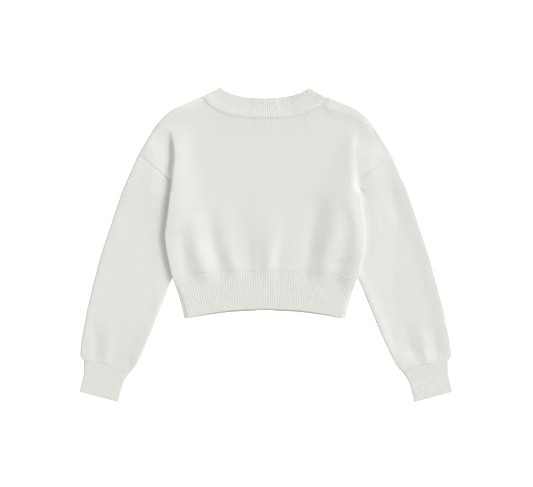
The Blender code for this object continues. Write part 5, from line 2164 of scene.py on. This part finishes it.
@dataclass
class Button:
    """A flat four-hole button with a raised rim, whose face is the underside."""

    number: int
    first_up: float = -112.0
    pitch: float = 65.0
    segments: int = 56
    face: float = 0.45        # how far its middle lies above the rim's lowest line
    rings: tuple[float, float, float] = (0.35, 3.3, 0.22)   # radii of those where the holes are
    hole_radius: float = 0.9
    hole_out: float = 1.9
    hole_deep: float = 1.2
    hole_edge: float = 0.35

    def build(self, material: bpy.types.Material) -> None:
        """Build the button."""
        centre = Vector((0.0, self.first_up + self.pitch * (self.number - 1)))
        work = bmesh.new()
        rings = []
        for radius, height in self.profile():
            ring = []
            for step in range(self.segments if radius > 0.01 else 1):
                angle = 2 * math.pi * step / self.segments
                x, y = radius * math.cos(angle), radius * math.sin(angle)
                sunk = height + (self.hole_depth(x, y) if height < 0.9 else 0.0)
                ring.append(work.verts.new(((centre.x + x) * MM, (centre.y + y) * MM, sunk * MM)))
            rings.append(ring)
        for before, after in zip(rings, rings[1:]):
            for step in range(self.segments):
                following = (step + 1) % self.segments
                corners = [before[step % len(before)], before[following % len(before)],
                           after[following % len(after)], after[step % len(after)]]
                work.faces.new(list(dict.fromkeys(corners)))
        bmesh.ops.recalc_face_normals(work, faces=work.faces)
        mesh = bpy.data.meshes.new(f"button_{self.number}_shell")
        work.to_mesh(mesh)
        work.free()
        mesh.shade_smooth()
        mesh.materials.append(material)
        piece = linked(bpy.data.objects.new(mesh.name, mesh))
        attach(piece, BODY)
        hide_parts(f"button_{self.number}")

    def profile(self) -> list[tuple[float, float]]:
        """Return the outline from its face's middle round to its back's, as radius and height."""
        inside = [(0.0, self.face)]
        inside += [(float(radius), self.face) for radius in np.arange(*self.rings)]
        return inside + list(BUTTON_OUTLINE)

    def hole_depth(self, x: float, y: float) -> float:
        """Return how deep a hole is at a place on the button's face."""
        spots = ((1, 1), (1, -1), (-1, 1), (-1, -1))
        nearest = min(math.hypot(x - self.hole_out * a / math.sqrt(2) * 1.05,
                                 y - self.hole_out * b / math.sqrt(2) * 1.05)
                      for a, b in spots)
        return self.hole_deep * float(ease((self.hole_radius - nearest) / self.hole_edge + 0.5))


class StitchMaker:
    """Lays stitches along the seams that show, with one shared tree."""

    def __init__(self, settings: StitchTree, material: bpy.types.Material) -> None:
        """Build the tree and keep the yarn's material."""
        self.grower = Grower(settings, material)

    def sew(self, name: str, x: Array, up: Array, level: Array,
            sunk: float) -> bpy.types.Object:
        """Lay stitches along a line on the garment's upper side.

        Args:
            name: The object's name.
            x: The line's signed places across.
            up: Its places towards the neck.
            level: The cloth's height there.
            sunk: How far below that level the stitches lie, in millimetres.

        Returns:
            The stitches as one object.
        """
        line = np.column_stack([x, up, level - sunk]) * MM
        line = line[np.argsort(line[:, 0])]
        mesh = bpy.data.meshes.new(name)
        mesh.from_pydata(line.tolist(), [(n, n + 1) for n in range(len(line) - 1)], [])
        piece = linked(bpy.data.objects.new(name, mesh))
        self.grower.grow(piece)
        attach(piece, BODY)
        LOG.info("%s: %d faces", piece.name, len(piece.data.polygons))
        return piece

    def hem(self) -> bpy.types.Object:
        """Sew the hem to the back."""
        x = spaced(-179.0, 179.0, 3.0)
        up = PLAN.hem_seam(np.abs(x)) + 0.7
        return self.sew("hem_stitches", x, up, RELIEF.upper_level(x, up), sunk=0.22)

    def neck(self) -> bpy.types.Object:
        """Sew the neckband to the back."""
        x = spaced(-124.0, 124.0, 2.0)
        up = PLAN.neck_seam(np.abs(x))
        return self.sew("neck_stitches", x, up, RELIEF.upper_level(x, up), sunk=0.45)

    def right_shoulder(self) -> bpy.types.Object:
        """Sew the right front's strip to the back."""
        x, up = shoulder_seam(Side.RIGHT).at(spaced(0.03, 0.97, 0.02)).T
        return self.sew("shoulder_right_stitches", x, up, RELIEF.upper_level(x, up), sunk=0.3)

    def armhole(self, side: Side) -> bpy.types.Object:
        """Sew a sleeve in."""
        up = spaced(PLAN.crossing_up + 4, ARMHOLE_TOP.up - 3, 2.0)
        x = side.value * PLAN.armhole_out(up)
        level = RELIEF.sleeve_level(x, up)
        return self.sew(f"armhole_{side.word}_stitches", x, up, level, sunk=0.4)

    def cuff(self, side: Side) -> bpy.types.Object:
        """Sew a cuff to its sleeve."""
        section = Cuff(side=side).placed()[0]
        inner, outer = np.array(section.inner), np.array(section.outer)
        share = spaced(0.06, 0.94, 0.02)[:, None]
        run = outer - inner
        across = run / np.linalg.norm(run)
        bow = Cuff.cuff_seam_bow * np.sin(math.pi * share) * np.array([-across[1], across[0]])
        out, up = (inner + run * share + bow).T
        x = side.value * out
        level = RELIEF.sleeve_level(x, up)
        return self.sew(f"cuff_{side.word}_stitches", x, up, level, sunk=0.2)


# ---------------------------------------------------------------------------------------------
# Studio
# ---------------------------------------------------------------------------------------------

@dataclass(frozen=True)
class Studio:
    """The floor, the lights and the camera straight above the garment."""

    view_width: float = 1066.0      # millimetres of floor across the picture
    view_centre: tuple[float, float] = (3.0, 2.0)
    lens: float = 100.0
    sensor: float = 36.0
    floor_size: float = 12000.0
    key_power: float = 3.5
    key_width: float = 32.0         # degrees that the key light spans
    key_azimuth: float = 28.0       # degrees from +X towards +Y
    key_height: float = 21.5        # degrees above the floor
    sky: float = 0.69

    def build(self) -> None:
        """Set up the floor, the lights and the camera."""
        self.build_floor()
        self.build_lights()
        self.build_camera()

    def build_floor(self) -> None:
        """Lay the floor."""
        bpy.ops.mesh.primitive_plane_add(size=self.floor_size * MM, location=(0, 0, -0.0002))
        floor = bpy.context.active_object
        floor.name = "studio_floor"
        floor.data.materials.append(FloorFinish().material())
        floor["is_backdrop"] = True

    def build_lights(self) -> None:
        """Place the soft key light on the right, and the even sky."""
        light = bpy.data.lights.new("key_light", "SUN")
        light.angle = math.radians(self.key_width)
        light.energy = self.key_power
        lamp = linked(bpy.data.objects.new("key_light", light))
        azimuth, height = math.radians(self.key_azimuth), math.radians(self.key_height)
        away = Vector((math.cos(azimuth) * math.cos(height),
                       math.sin(azimuth) * math.cos(height), math.sin(height)))
        lamp.location = away
        lamp.rotation_mode = "QUATERNION"
        lamp.rotation_quaternion = away.to_track_quat("Z", "Y")
        world = bpy.data.worlds.new("studio_sky")
        bpy.context.scene.world = world
        world.use_nodes = True
        backdrop = world.node_tree.nodes["Background"]
        backdrop.inputs["Color"].default_value = (1.0, 1.0, 1.0, 1.0)
        backdrop.inputs["Strength"].default_value = self.sky

    def build_camera(self) -> None:
        """Hang the camera straight above the garment."""
        data = bpy.data.cameras.new("camera")
        data.lens, data.sensor_width = self.lens, self.sensor
        camera = linked(bpy.data.objects.new("camera", data))
        distance = self.view_width * MM / self.sensor * self.lens
        camera.location = (self.view_centre[0] * MM, self.view_centre[1] * MM, distance)
        bpy.context.scene.camera = camera
        bpy.context.scene.view_settings.view_transform = "Standard"


def main() -> None:
    """Build the cardigan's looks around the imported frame, piece by piece."""
    logging.basicConfig(level=logging.INFO, format="%(name)s: %(message)s")
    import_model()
    groups = ShaderGroups()
    knit = KnitFinish("cardigan_knit").material(groups)
    rib = KnitFinish("cardigan_rib", colour=(0.735, 0.724, 0.688)).material(groups)
    shell = ButtonFinish().material()
    ribs = Grower(RibTree(), rib)
    stitches = StitchMaker(StitchTree(), rib)
    BackPanel().build(knit, [stitches.right_shoulder()])
    for side in Side:
        FrontPanel(side).build(knit)
        Sleeve(side=side).build(knit, [stitches.armhole(side)])
        Cuff(side=side).build(ribs, [stitches.cuff(side)])
        FrontHem(side=side).build(rib)
    BackHem().build(ribs, [stitches.hem()])
    Neckband().build(ribs, [stitches.neck()])
    for name, low in (("buttonhole_band", RELIEF.buttonhole_band_low),
                      ("button_band", RELIEF.button_band_low)):
        FrontBand(name, low).build(rib)
    for number in range(1, 7):
        Button(number).build(shell)
    Studio().build()
    low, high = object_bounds()


if __name__ == "__main__":
    main()
